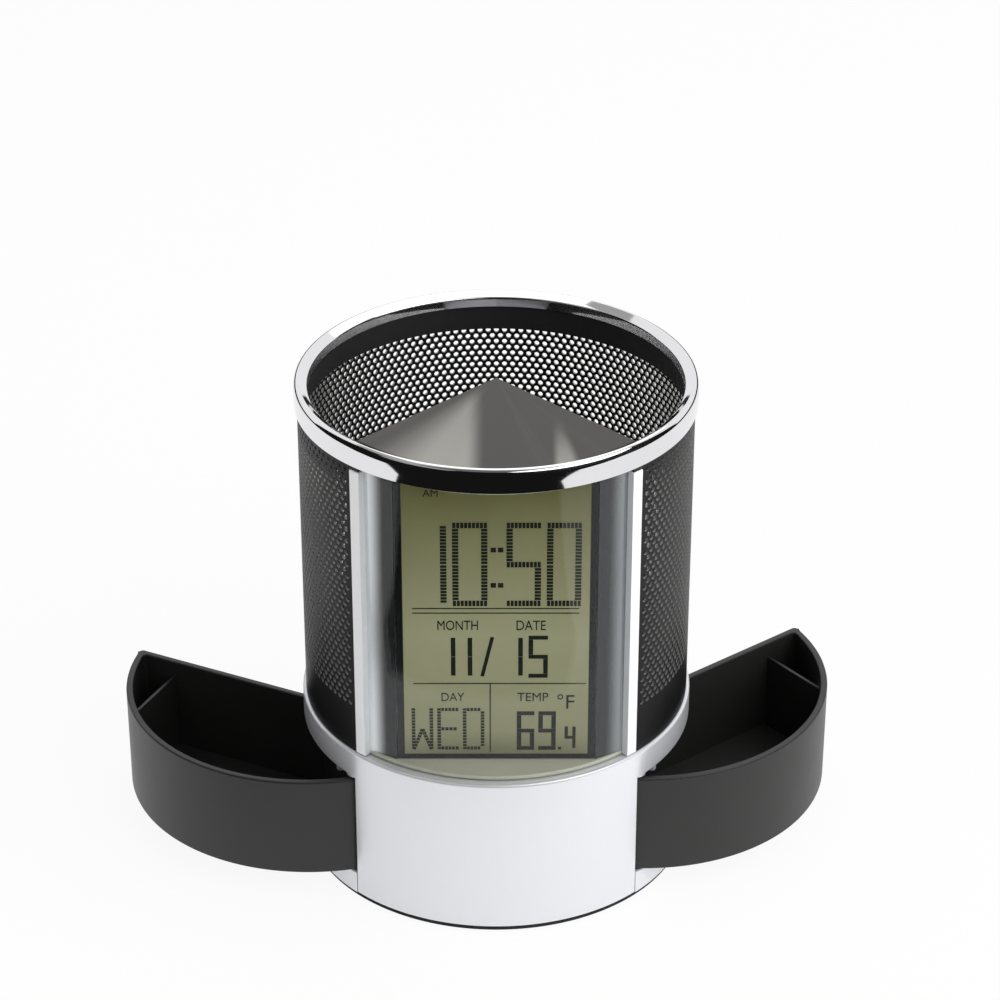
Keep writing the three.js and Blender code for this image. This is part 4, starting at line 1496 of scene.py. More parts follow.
@dataclass
class ClockCap:
    """Satin cap on the wedge."""

    span: Span = span_of("clock_top_cap")
    edge: float = 0.35
    point_radius: float = 0.8
    corner_radius: float = 0.5

    def build(self) -> None:
        """Makes a sector with its point behind the axis."""
        radius = -self.span.low.y
        half = math.degrees(math.asin(self.span.high.x / radius))
        outline = [*arc(radius, -half, half, 1.0), (0.0, self.span.high.y)]
        last = len(outline) - 1
        radii = {last: self.point_radius, 0: self.corner_radius, last - 1: self.corner_radius}
        outline = rounded(outline, radii, 5)
        shell = Shell()
        shell.slab(outline, self.span.low.z, self.span.high.z, self.edge)
        shell.build("clock_cap_satin", SATIN, slot="satin_metal", replaces=["clock_top_cap"])


@dataclass
class Window:
    """Curved lens and the bright surround behind and beside it."""

    span: Span = span_of("lens")
    surround: Span = span_of("display_surround")
    cell: Span = span_of("lcd_cell")
    setback: float = 0.4
    lens_thickness: float = 1.6
    lens_edge: float = 0.08
    gap: float = 0.3
    post_depth: float = 3.1
    post_angle: float = 3.5
    post_edge: float = 0.25
    sheet: float = 1.2
    ledge: float = 1.0
    ledge_edge: float = 0.2
    groove: float = 0.4
    dark_share: float = 0.33
    # Height, inset and overlap of the black bands of painted shadow on the posts
    shadow_band: float = 0.9
    shadow_band_inset: float = 0.3
    shadow_band_overlap: float = 0.1

    def build(self) -> None:
        """Makes the lens, then the surround's ledge, header, posts, black bands of painted shadow on the
        posts, and side panels.
        """
        outer = Span.of("top_ring").high.x - self.setback
        clearance = math.degrees(math.asin(self.gap / outer))
        post_outer = WINDOW - clearance
        post_inner = post_outer - self.post_angle
        half = post_inner - clearance
        low, high = self.span.low.z, self.span.high.z
        inner = outer - self.lens_thickness
        pane = [*arc(outer, -half, half, 1.0), *arc(inner, half, -half, 1.0)]
        lens = Shell()
        lens.slab(pane, low - self.groove, high, self.lens_edge)
        lens.build("lens_clear", CLEAR, slot="clear_lens", replaces=["lens"])

        radius = inner - self.gap
        reach = math.degrees(math.acos(-self.surround.high.y / radius))
        segment = arc(radius, -reach, reach, 1.0)
        sill = Shell()
        sill.slab(segment, low, low + self.ledge, self.ledge_edge)
        sill.build("display_ledge", LEDGE, slot="silver_plastic", replaces=["display_surround"])

        bright, shadow_bands, sides = Shell(), Shell(), Shell()
        bright.slab(segment, high - self.ledge, high, self.ledge_edge)
        root_radius = outer - self.post_depth
        post = [*arc(outer, post_inner, post_outer, 0.5), *arc(root_radius, post_outer, post_inner, 0.5)]
        for outline in (post, mirrored(post)):
            bright.slab(outline, low, high - self.shadow_band, self.post_edge)
            # Black bands on the tops of the posts are painted shadow: they stand for the dark gap under the
            # ring
            start = high - self.shadow_band - self.shadow_band_overlap
            shadow_bands.slab(inset(outline, self.shadow_band_inset), start, high, self.shadow_band_overlap)
        bright.build("display_surround_bright", BEZEL, slot="silver_plastic", replaces=["display_surround"])
        shadow_bands.build("post_shadow_bands", BLACK, slot="silver_plastic", replaces=["display_surround"])

        root = polar(root_radius + self.sheet, post_inner)
        near, plane = self.cell.high.x + self.gap, self.cell.low.y
        panel = [(near, plane), root, (root[0], root[1] + self.sheet), (near, plane + self.sheet)]
        for outline in (panel, mirrored(panel)):
            sides.slab(outline, low + self.ledge / 2, high - self.ledge / 2, 0.0)
        # The side panels carry a painted dark reflection beside the display
        graded = GradedBezel("bezel_painted_shade", near + self.dark_share * (root[0] - near), root[0])
        sides.build("display_side_panels", graded, slot="silver_plastic", replaces=["display_surround"])


class Mark(Enum):
    """Strokes of a segment numeral, on a grid of half heights."""

    TOP = ((0, 2), (1, 2))
    MIDDLE = ((0, 1), (1, 1))
    BOTTOM = ((0, 0), (1, 0))
    UPPER_LEFT = ((0, 1), (0, 2))
    UPPER_RIGHT = ((1, 1), (1, 2))
    LOWER_LEFT = ((0, 0), (0, 1))
    LOWER_RIGHT = ((1, 0), (1, 1))


NUMERALS: dict[str, tuple[Mark, ...]] = {
    "0": (Mark.TOP, Mark.BOTTOM, Mark.UPPER_LEFT, Mark.UPPER_RIGHT, Mark.LOWER_LEFT, Mark.LOWER_RIGHT),
    "1": (Mark.UPPER_RIGHT, Mark.LOWER_RIGHT),
    "4": (Mark.UPPER_LEFT, Mark.UPPER_RIGHT, Mark.MIDDLE, Mark.LOWER_RIGHT),
    "5": (Mark.TOP, Mark.UPPER_LEFT, Mark.MIDDLE, Mark.LOWER_RIGHT, Mark.BOTTOM),
    "6": (Mark.TOP, Mark.UPPER_LEFT, Mark.MIDDLE, Mark.LOWER_LEFT, Mark.LOWER_RIGHT, Mark.BOTTOM),
    "9": (Mark.TOP, Mark.UPPER_LEFT, Mark.UPPER_RIGHT, Mark.MIDDLE, Mark.LOWER_RIGHT, Mark.BOTTOM),
}


@dataclass
class Display:
    """Figures on the liquid crystal display: time, date, weekday and temperature."""

    cell: Span = span_of("lcd_cell")
    proud: float = 0.05
    film: float = 0.04
    rule: float = 0.28
    block: float = 0.9
    block_gap: float = 0.2
    bold: float = 1.5
    medium: float = 1.1
    light: float = 0.8
    blocks_over: float = 1.2
    meeting_gap: float = 0.56
    free_gap: float = 0.05
    time_row: Point = (89.6, 112.7)
    date_row: Point = (69.2, 81.2)
    day_row: Point = (48.2, 60.4)
    heat_row: Point = (48.1, 59.4)
    tenth_row: Point = (48.2, 55.4)

    def __post_init__(self) -> None:
        """Starts an empty sheet of marks."""
        self.shell = Shell()

    def patch(self, corners: Outline) -> None:
        """A flat mark in the plane of the display."""
        plane = self.cell.low.y - self.proud
        self.shell.faces.append(tuple(self.shell.row((x, plane, z) for x, z in corners)))

    def bar(self, start: Point, stop: Point, width: float, blocks: bool = False) -> None:
        """A straight stroke, whole or in blocks.

        Args:
            start: Across and up at one end.
            stop: Across and up at the other end.
            width: Width of the stroke.
            blocks: Whether it is broken into blocks.
        """
        a, b = Vector(start), Vector(stop)
        length = (b - a).length
        along = (b - a) / length
        side = Vector((-along.y, along.x)) * width / 2
        count = max(1, round(length / self.block)) if blocks else 1
        gap = self.block_gap / 2 if blocks else 0.0
        for i in range(count):
            p = a + along * (length * i / count + gap)
            q = a + along * (length * (i + 1) / count - gap)
            self.patch([tuple(p - side), tuple(q - side), tuple(q + side), tuple(p + side)])

    def numeral(self, sign: str, left: float, right: float, row: Point, width: float) -> None:
        """A segment numeral in a box.

        Args:
            sign: The numeral.
            left: Left edge of the box.
            right: Right edge of the box.
            row: Lower and upper edge of the box.
            width: Width of its strokes.
        """
        bottom, top = row
        xs = (left + width / 2, right - width / 2)
        zs = (bottom + width / 2, (bottom + top) / 2, top - width / 2)
        levels = {mark.value[0][1] for mark in NUMERALS[sign] if mark.value[0][0] != mark.value[1][0]}
        for mark in NUMERALS[sign]:
            (x0, z0), (x1, z1) = mark.value
            start, stop = Vector((xs[x0], zs[z0])), Vector((xs[x1], zs[z1]))
            along = (stop - start).normalized() * width
            if x0 == x1:
                start += along * (self.meeting_gap if z0 in levels else self.free_gap)
                stop -= along * (self.meeting_gap if z1 in levels else self.free_gap)
            else:
                start -= along * 0.5
                stop += along * 0.5
            self.bar(tuple(start), tuple(stop), width, blocks=width > self.blocks_over)

    def letters(self, text: str, left: float, right: float, row: Point, width: float) -> None:
        """Large weekday letters drawn in straight strokes.

        Args:
            text: The letters.
            left: Left edge of the first.
            right: Right edge of the last.
            row: Their lower and upper edge.
            width: Width of the strokes.
        """
        bottom, top = row
        step = (right - left) / len(text)
        for i, sign in enumerate(text):
            x0, x1 = left + i * step + 0.5, left + (i + 1) * step - 0.5
            middle, waist = (x0 + x1) / 2, (bottom + top) / 2
            a = width / 2
            strokes = {
                "W": [
                    ((x0 + a, top), (x0 + a, bottom)),
                    ((x1 - a, top), (x1 - a, bottom)),
                    ((x0 + a, bottom), (middle, waist)),
                    ((middle, waist), (x1 - a, bottom)),
                ],
                "E": [
                    ((x0 + a, top), (x0 + a, bottom)),
                    ((x0 + width, top - a), (x1, top - a)),
                    ((x0 + width, waist), (x1 - a, waist)),
                    ((x0 + width, bottom + a), (x1, bottom + a)),
                ],
                "D": [
                    ((x0 + a, top), (x0 + a, bottom)),
                    ((x0 + width, top - a), (x1 - width, top - a)),
                    ((x0 + width, bottom + a), (x1 - width, bottom + a)),
                    ((x1 - a, top - width), (x1 - a, bottom + width)),
                ],
            }
            for start, stop in strokes[sign]:
                self.bar(start, stop, width, blocks=True)

    def word(self, text: str, left: float, bottom: float, width: float, height: float) -> None:
        """A small printed word.

        Args:
            text: The word.
            left: Its left edge.
            bottom: Its lower edge.
            width: Its width.
            height: Its height.
        """
        font = bpy.data.curves.new("word", "FONT")
        font.body = text
        holder = bpy.data.objects.new("word", font)
        bpy.context.scene.collection.objects.link(holder)
        graph = bpy.context.evaluated_depsgraph_get()
        mesh = bpy.data.meshes.new_from_object(holder.evaluated_get(graph))
        xs = [v.co.x for v in mesh.vertices]
        zs = [v.co.y for v in mesh.vertices]
        wide, tall = max(xs) - min(xs), max(zs) - min(zs)
        plane = self.cell.low.y - self.proud
        start = len(self.shell.points)
        self.shell.row(
            (left + (v.co.x - min(xs)) / wide * width, plane, bottom + (v.co.y - min(zs)) / tall * height)
            for v in mesh.vertices
        )
        self.shell.faces.extend(tuple(start + i for i in p.vertices) for p in mesh.polygons)
        bpy.data.objects.remove(holder)
        bpy.data.curves.remove(font)
        bpy.data.meshes.remove(mesh)

    def build(self) -> None:
        """Lays out every mark and makes them one thin piece."""
        self._time()
        self._rules()
        self._date()
        self._day_and_heat()
        self.shell.thicken(self.film)
        self.shell.build("display_figures", INK, slot="lcd_glass", merge=False)

    def _time(self) -> None:
        """Large figures of the time, with their colon."""
        places = (("0", -10.5, -2.06), ("5", 2.5, 10.8), ("0", 12.2, 20.5), ("1", -13.4, -11.9))
        for sign, left, right in places:
            self.numeral(sign, left, right, self.time_row, self.bold)
        dot = 1.3
        for level in (95.4, 105.2):
            for x in (-0.65, 1.1):
                self.bar((x - dot / 2, level), (x + dot / 2, level), dot)

    def _rules(self) -> None:
        """Thin rules between the lines, and the small words over the figures."""
        left, middle = -20.3, 67.5
        for level in (88.9, 87.6):
            self.bar((left, level), (20.1, level), self.rule)
        self.bar((left, middle), (22.0, middle), self.rule)
        self.bar((-1.45, middle), (-1.45, 47.5), self.rule)
        words = (
            ("MONTH", -14.2, 82.8, 9.8, 2.7),
            ("DATE", 4.95, 82.8, 7.1, 2.7),
            ("DAY", -13.4, 62.4, 5.6, 2.4),
            ("TEMP", 5.2, 62.4, 7.6, 2.4),
        )
        for word in words:
            self.word(*word)

    def _date(self) -> None:
        """Month and date with the stroke between them."""
        for left in (-11.0, -6.9):
            self.numeral("1", left, left + self.medium, self.date_row, self.medium)
        self.bar((-3.4, 69.6), (-0.9, 80.8), 0.9)
        for sign, left, right in (("1", 5.4, 6.5), ("5", 7.9, 12.6)):
            self.numeral(sign, left, right, self.date_row, self.medium)

    def _day_and_heat(self) -> None:
        """Weekday, temperature with its point and tenth, and the marks beside them."""
        self.letters("WED", -21.3, -2.4, self.day_row, 0.9)
        for sign, left, right in (("6", 5.1, 9.4), ("9", 10.4, 14.7)):
            self.numeral(sign, left, right, self.heat_row, self.medium)
        self.bar((15.3, 48.6), (16.1, 48.6), self.light)
        self.numeral("4", 16.9, 19.6, self.tenth_row, self.light)
        self.word("°F", 15.0, 60.2, 4.2, 4.2)
        self.word("AM", -17.4, 119.8, 3.6, 1.9)


@dataclass
class BaseShell:
    """Deck, skirt, front apron and rear post in one silver moulding, with the walls under it."""

    span: Span = span_of("base_shell")
    wall: float = 2.0
    deck: float = 2.4
    skirt: float = 7.5
    rib: float = 7.7
    partition: float = 1.5
    edge: float = 0.3
    lip: float = 0.6
    hold: float = 0.3
    land: float = 0.4
    step: float = 1.0
    weld: float = 0.5
    screw_boss: float = 3.2
    hinge_foot: float = 35.5
    peg: float = 1.2
    peg_at: Point = (39.4, -24.585)
    peg_foot: float = 32.2
    rib_edge: float = 0.2
    knuckle_edge: float = 0.15

    def build(self) -> None:
        """Sweeps the outer moulding round, then stands the partitions, bosses and pegs under the deck."""
        radius, top = self.span.high.x, self.span.high.z
        inner = radius - self.wall
        post = math.degrees(math.asin(self.rib / radius))
        zones = [
            (-WINDOW, WINDOW, self.span.low.z),
            (WINDOW, 180.0 - post, top - self.skirt),
            (180.0 - post, 180.0 + post, FOOT),
            (180.0 + post, 360.0 - WINDOW, top - self.skirt),
        ]
        shell = Shell()
        split = top - self.skirt + self.edge
        previous: list[int] | None = None
        first: list[int] | None = None
        for start, stop, low in zones:
            count = math.ceil((stop - start) / self.step)
            angles = [start + (stop - start) * i / count for i in range(count + 1)]
            section = self._section(radius, inner, low, split, top)
            rows = [shell.row([(*polar(r, angle), z) for r, z in section]) for angle in angles]
            shell.skin(rows, closed=False)
            first = first or rows[0]
            if previous is not None:
                self._close(shell, previous, rows[0])
            previous = rows[-1]
        self._close(shell, previous, first)
        self._underside(shell, inner, top)
        shell.build("base_shell_lacquered", SILVER, slot="silver_plastic", replaces=["base_shell"])

    def _section(
        self, radius: float, inner: float, low: float, split: float, top: float
    ) -> list[Point]:
        """Section from the deck's underside, down and up round the wall, to the middle of the deck.

        Args:
            radius: Outside of the wall.
            inner: Inside of the wall.
            low: Level of its lower edge.
            split: Level of the skirt's lower rounding.
            top: Level of the deck.

        Returns:
            Radius and level of each point.
        """
        e, lip, turns = self.edge, self.lip, quarter(3)
        section = [(0.0, top - self.deck), (inner, top - self.deck), (inner, split)]
        section += [(inner + e * (1 - math.cos(t)), low + e * (1 - math.sin(t))) for t in turns]
        section += [(radius - e * (1 - math.sin(t)), low + e * (1 - math.cos(t))) for t in turns]
        section += [(radius, split), (radius, top - lip - self.hold)]
        section += [(radius - lip * (1 - math.cos(t)), top - lip * (1 - math.sin(t))) for t in quarter(6)]
        return [*section, (radius - lip - self.land, top), (0.0, top)]

    @staticmethod
    def _close(shell: Shell, one: list[int], other: list[int]) -> None:
        """Closes the step between two sections that differ only below the split."""
        lower, upper = sorted((one, other), key=lambda section: shell.points[section[LOWEST]][2])
        shell.faces.append(tuple(lower[BELOW]) + tuple(reversed(upper[BELOW])))

    def _underside(self, shell: Shell, inner: float, top: float) -> None:
        """Partitions between the drawers and the middle, screw bosses, hinge bosses and stop pegs.

        Args:
            shell: Mesh that they are added to.
            inner: Inside of the wall.
            top: Level of the deck.
        """
        under = top - self.deck
        slant = self.partition * math.sqrt(2)
        rib_inner = self.rib - self.partition
        reach, end = inner + self.weld, under + self.weld
        rear = math.sqrt(reach**2 - self.rib**2)
        partition = [
            (rib_inner, rear),
            (rib_inner, -rib_inner - slant),
            polar(reach, WINDOW - math.degrees(math.asin(self.partition / reach))),
            polar(reach, WINDOW),
            (self.rib, -self.rib),
            (self.rib, rear),
        ]
        for outline in (partition, mirrored(partition)):
            shell.slab(outline, FOOT, end, self.rib_edge)
        for name in SCREWS:
            boss(shell, name, self.screw_boss, FOOT, end, self.rib_edge)
        for side, pin in PINS.items():
            boss(shell, pin, KNUCKLE, self.hinge_foot, end, self.knuckle_edge)
            peg = circle((side * self.peg_at[0], self.peg_at[1]), self.peg, 24)
            shell.slab(peg, self.peg_foot, end, self.rib_edge)


@dataclass
class BasePan:
    """Tray under the drawers, with its runners, hinge bosses and screw bosses."""

    span: Span = span_of("base_pan")
    floor: float = 2.0
    rim: float = 6.3
    wall: float = 2.0
    front_radius: float = 47.7
    gap: float = 0.3
    weld: float = 0.3
    runner: float = 1.2
    runner_shares: Point = (0.76, 0.44)
    runner_turn: Point = (54.0, 155.0)
    screw_boss: float = 4.1
    screw_hole: float = 2.9
    button_hole: float = 3.2
    box_half: float = 24.0
    box_front: float = -39.99
    box_rear: float = -28.89
    box_wall: float = 1.2
    box_top: float = 15.05
    foot_edge: float = 0.35
    rim_edges: Point = (0.45, 0.3)
    hole_edge: float = 0.2
    runner_edge: float = 0.25
    knuckle_edge: float = 0.15
    boss_edge: float = 0.2
    box_edge: float = 0.3

    def build(self) -> None:
        """Makes the tray, then what stands on its floor."""
        bottom = self.span.low.z
        floor, top = bottom + self.floor, bottom + self.rim
        outer, hollow = self._outline(0.0), self._outline(self.wall)
        shell = Shell()
        low, high = shell.wall(outer, bottom, top, self.foot_edge, self.rim_edges[0])
        inner_low, inner_high = shell.wall(list(reversed(hollow)), floor, top, 0.0, self.rim_edges[1])
        shell.cap(top, high, [inner_high])
        walls = [shell.wall(hole, bottom, floor, self.hole_edge) for hole in self._holes()]
        shell.cap(bottom, low, [ends[0] for ends in walls])
        shell.cap(floor, list(reversed(inner_low)), [ends[1] for ends in walls])
        root = floor - self.weld
        first, last = self.runner_turn
        for side, pin in PINS.items():
            for share in self.runner_shares:
                radius = self.span.high.x * share
                outline = [*arc(radius, first, last), *arc(radius - self.runner, last, first)]
                shell.slab(outline if side > 0 else mirrored(outline), root, top, self.runner_edge)
            boss(shell, pin, KNUCKLE, root, top, self.knuckle_edge)
        for name in SCREWS:
            boss(shell, name, self.screw_boss, root, top, self.boss_edge)
        self._compartment(shell, root)
        shell.build("base_pan_lacquered", SILVER, slot="silver_plastic", replaces=["base_pan"])

    def _outline(self, back: float) -> Outline:
        """Plan of the tray, set in by a distance; its front stands back behind the apron."""
        edge = WINDOW + math.degrees(math.asin((self.gap + back) / self.span.high.x))
        return [*arc(self.front_radius - back, -edge, edge), *arc(self.span.high.x - back, edge, 360 - edge)]

    def _holes(self) -> list[Outline]:
        """Screw holes, button holes and the battery doorway.

        Returns:
            Clockwise outlines.
        """
        holes = [bored(Span.of(name).centre, self.screw_hole) for name in SCREWS]
        holes += [bored(Span.of(name).centre, self.button_hole) for name in BUTTONS]
        return [*holes, list(reversed(Span.of("battery_door").grown(self.gap)))]

    def _compartment(self, shell: Shell, root: float) -> None:
        """Walls and ceiling of the battery compartment.

        Args:
            shell: Mesh that they are added to.
            root: Level that they stand on.
        """
        hollow = rectangle(-self.box_half, self.box_half, self.box_front, self.box_rear)
        ceiling = self.box_top - self.box_wall
        low, high = shell.wall(inset(hollow, -self.box_wall), root, self.box_top, 0.0, self.box_edge)
        inner_low, inner_high = shell.wall(list(reversed(hollow)), root, ceiling)
        shell.cap(self.box_top, high)
        shell.cap(root, low, [inner_low])
        shell.cap(ceiling, list(reversed(inner_high)))


@dataclass
class Pad:
    """Thin anti-slip pad under the base."""

    span: Span = span_of("anti_slip_pad")
    edge: float = 0.25
    door_gap: float = 0.8
    slot_half: float = 4.0
    slot_gap: float = 0.3
    slot_corner: float = 1.5
    screw_hole: float = 3.7

    def build(self) -> None:
        """Makes a disc with its openings."""
        first, last = Span.of(BUTTONS[0]), Span.of(BUTTONS[-1])
        slot = rectangle(
            -self.slot_half, self.slot_half, first.low.y - self.slot_gap, last.high.y + self.slot_gap
        )
        openings = [Span.of("battery_door").grown(self.door_gap)]
        openings.append(rounded(slot, {corner: self.slot_corner for corner in range(4)}))
        openings += [circle(Span.of(name).centre, self.screw_hole) for name in SCREWS]
        holes = [list(reversed(opening)) for opening in openings]
        disc = circle((0.0, 0.0), self.span.high.x, 180)
        shell = Shell()
        shell.slab(disc, self.span.low.z, self.span.high.z, self.edge, holes)
        shell.build("anti_slip_pad_foam", FOAM, slot="foam", replaces=["anti_slip_pad"])


class Side(Enum):
    """Which side a drawer is on."""

    LEFT = -1
    RIGHT = 1


@dataclass
class Drawer:
    """Quarter-round tray that swings out on a pin at the end of the apron."""

    side: Side
    opening: float
    radius: float = 49.6
    wall: float = 1.8
    flat: float = 8.0
    gap: float = 0.3
    bottom: float = FOOT
    top: float = 35.2
    knuckle: float = KNUCKLE
    foot_edge: float = 0.35
    bore_edge: float = 0.15
    rim: float = 0.45
    outer_corner: float = 1.2
    hollow_corner: float = 1.0
    web_in: float = 9.0
    web_thick: float = 1.0
    web_fall: float = 4.6
    web_sink: float = 0.4
    web_edge: float = 0.25

    def build(self) -> None:
        """Makes the tray shut in the base, then swings it out to where it stands."""
        reach = self.radius - self.knuckle
        front = WINDOW + math.degrees(math.asin((self.gap + self.knuckle) / reach))
        hinge = polar(reach, front)
        outer, hollow = self._outer(hinge, front), self._hollow(hinge, front)
        bore = bored(hinge, BORE, 32)
        floor = self.bottom + self.wall
        shell = Shell()
        low, high = shell.wall(outer, self.bottom, self.top, self.foot_edge, self.rim)
        inner_low, inner_high = shell.wall(hollow, floor, self.top, 0.0, self.rim)
        bore_low, bore_high = shell.wall(bore, self.bottom, self.top, self.bore_edge, self.bore_edge)
        shell.cap(self.bottom, low, [bore_low])
        shell.cap(self.top, high, [inner_high, bore_high])
        shell.cap(floor, list(reversed(inner_low)))
        self._web(shell, floor)
        turn = math.radians(-self.opening)
        side = self.side.value

        def swing(x: float, y: float) -> Point:
            """Turns a point about the hinge, then puts it on the drawer's side."""
            across, along = turned(x - hinge[0], y - hinge[1], turn, hinge)
            return (side * across, along)

        shell.place(swing)
        name = f"{self.side.name.lower()}_drawer"
        shell.build(f"{name}_tray", CHARCOAL, body=name, slot="charcoal_plastic", replaces=[name])

    def _web(self, shell: Shell, floor: float) -> None:
        """Low web across the narrow end of the hollow, sunk a little into the walls and the floor.

        Args:
            shell: Mesh that it is added to.
            floor: Level of the hollow's floor.
        """
        sink = self.web_sink
        inside, outside = self.flat + self.wall - sink, self.radius - self.wall + sink
        far = math.sqrt(outside**2 - inside**2)
        near, away = far - self.web_in - self.web_thick, far - self.web_in
        reach = [math.sqrt(outside**2 - y**2) for y in (near, away)]
        outline = [(inside, near), (reach[0], near), (reach[1], away), (inside, away)]
        low, high = shell.wall(outline, floor - sink, self.top - self.web_fall, 0.0, self.web_edge)
        shell.cap(floor - sink, low)
        shell.cap(self.top - self.web_fall, high)

    def _outer(self, hinge: Point, front: float) -> Outline:
        """Plan of the outside, from the knuckle round to the radial wall.

        Args:
            hinge: Where the pin stands.
            front: Its angle in degrees from the front.

        Returns:
            Anticlockwise outline.
        """
        rear = 180 - math.degrees(math.asin(self.flat / self.radius))
        body = [*arc(self.radius, front, rear)[1:], (self.flat, -self.flat + self.gap * math.sqrt(2))]
        body = rounded(body, {len(body) - 2: self.outer_corner, len(body) - 1: self.outer_corner})
        return [*bend(hinge, self.knuckle, 225, 360 + front - 90, 18), *body]

    def _hollow(self, hinge: Point, front: float) -> Outline:
        """Plan of the hollow, which bulges in round the knuckle.

        Args:
            hinge: Where the pin stands.
            front: Its angle in degrees from the front.

        Returns:
            Clockwise outline.
        """
        radius, flat, gap = self.radius - self.wall, self.flat + self.wall, self.gap + self.wall
        lean = math.degrees(math.asin((self.knuckle - self.wall) / self.knuckle))
        rear = 180 - math.degrees(math.asin(flat / radius))
        along = math.degrees(math.atan2(self.knuckle * math.cos(math.radians(lean)), radius))
        wall = [*arc(radius, front + along, rear), (flat, -flat + gap * math.sqrt(2))]
        wall = rounded(wall, {len(wall) - 2: self.hollow_corner, len(wall) - 1: self.hollow_corner})
        bulge = bend(hinge, self.knuckle, 135 + lean, front - lean, 16)
        return list(reversed([*bulge, *wall[1:]]))


@dataclass
class Buttons:
    """Four push buttons in the underside."""

    names: tuple[str, ...] = BUTTONS
    dish: tuple[Point, ...] = ((0.0, 0.25), (1.4, 0.12), (2.2, 0.0), (2.6, 0.05), (2.82, 0.2), (2.9, 0.5))
    collar: tuple[Point, ...] = ((2.9, 3.0), (3.7, 3.0), (3.7, 3.4), (1.6, 3.4), (1.6, 4.2), (0.0, 4.2))

    def build(self) -> None:
        """Turns each button: a dish measured from its lowest level, and a collar at set levels."""
        for name in self.names:
            span = Span.of(name)
            profile = [(radius, span.low.z + up) for radius, up in self.dish] + list(self.collar)
            shell = Shell()
            shell.lathe(profile, 48, span.centre)
            shell.build(f"{name}_cap", BLACK, body=name, slot="black_plastic", replaces=[name])


@dataclass
class BaseScrews:
    """Cross-recessed screws that hold the pan to the shell."""

    names: tuple[str, ...] = SCREWS
    head: float = 2.6
    head_height: float = 1.6
    shaft: float = 1.2
    reach: float = 1.45
    groove: float = 0.36
    depth: float = 1.0
    head_edge: float = 0.5
    collar_edge: float = 0.12
    tip_edge: float = 0.5
    first_turn: float = 17.0
    next_turn: float = 29.0

    def build(self) -> None:
        """Makes each screw head down, with its cross turned its own way."""
        for turns, name in enumerate(self.names):
            span = Span.of(name)
            centre = span.centre
            face, under = span.low.z, span.low.z + self.head_height
            cross = list(reversed(self._cross(centre, self.first_turn + self.next_turn * turns)))
            shaft = circle(centre, self.shaft, 24)
            shell = Shell()
            head = circle(centre, self.head)
            rim, collar = shell.wall(head, face, under, self.head_edge, self.collar_edge)
            mouth, deep = shell.wall(cross, face, face + self.depth)
            shell.cap(face, rim, [mouth])
            shell.cap(face + self.depth, list(reversed(deep)))
            shell.cap(under, collar, [list(reversed(shaft))])
            _, tip = shell.wall(shaft, under, span.high.z, 0.0, self.tip_edge)
            shell.cap(span.high.z, tip)
            shell.build(f"{name}_turned", STEEL, slot="steel", replaces=[name])

    def _cross(self, centre: Point, angle: float) -> Outline:
        """Recess for the driver.

        Args:
            centre: Middle of the head.
            angle: Turn of the cross in degrees.

        Returns:
            Anticlockwise outline.
        """
        arm = [(self.groove, -self.reach), (self.groove, -self.groove), (self.reach, -self.groove)]
        turns = [math.radians(90 * quarter + angle) for quarter in range(4)]
        return [turned(x, y, turn, centre) for turn in turns for x, y in arm]


class CarriedOver:
    """CAD pieces that show as they are, each with a finish of its own."""

    VIEW_MARGIN = 1.7

    def __init__(self, nodes: dict[str, bpy.types.Object]) -> None:
        """Keeps the frame's objects by name."""
        self.nodes = nodes

    def build(self) -> None:
        """Gives every piece that is still shown its finish."""
        cell = Span.of("lcd_cell")
        view = LiquidCrystal("liquid_crystal", cell.high.x - self.VIEW_MARGIN, cell.low.z, cell.high.z)
        wrap = CellWrap("battery_wrap", Span.of("battery_cell").high.x)
        chosen: dict[str, Finish] = {
            "lcd_cell": view,
            "battery_cell": wrap,
            "clock_housing": SILVER,
            "battery_door": SILVER,
            "lcd_reflector": WHITE,
            "lcd_holder": WHITE,
            "key_board": BOARD,
            "clock_board": BOARD,
            "contact_strip": Rubber("strip_rubber", 0x8A4A55),
            "chip_blob": Plastic("epoxy_blob", 0x121212, 0.3, 0.02),
            "buzzer": BLACK,
            "temperature_sensor": BLACK,
            "ribbon_cable": Rubber("grey_insulation", 0x8C8C8E, 0.5),
            "battery_lead_negative": Rubber("black_insulation", 0x151515, 0.5),
            "battery_lead_positive": Rubber("red_insulation", 0xA82018, 0.5),
        }
        for name, thing in self.nodes.items():
            if thing.hide_render:
                continue
            finish = chosen.get(name, BLACK if name.startswith("key_switch") else STEEL)
            thing.data.materials.clear()
            thing.data.materials.append(finish.material())
            log.info("%s: %s", name, finish.name)


# The studio


def aimed(spot: Place, target: Place) -> Euler:
    """Rotation of a lamp or a camera that stands at one place and looks at another."""
    return (Vector(target) - Vector(spot)).to_track_quat("-Z", "Y").to_euler()


@dataclass(frozen=True)
class Lamp:
    """Square soft lamp, with its place and size in metres."""

    name: str
    spot: Place
    size: float
    power: float

    def build(self, target: Place) -> None:
        """Hangs the lamp and aims it.

        Args:
            target: Where it looks.
        """
        lamp = bpy.data.lights.new(self.name, "AREA")
        lamp.shape = "SQUARE"
        lamp.size = self.size
        lamp.energy = self.power
        thing = bpy.data.objects.new(self.name, lamp)
        bpy.context.scene.collection.objects.link(thing)
        thing.location = self.spot
        thing.rotation_euler = aimed(self.spot, target)


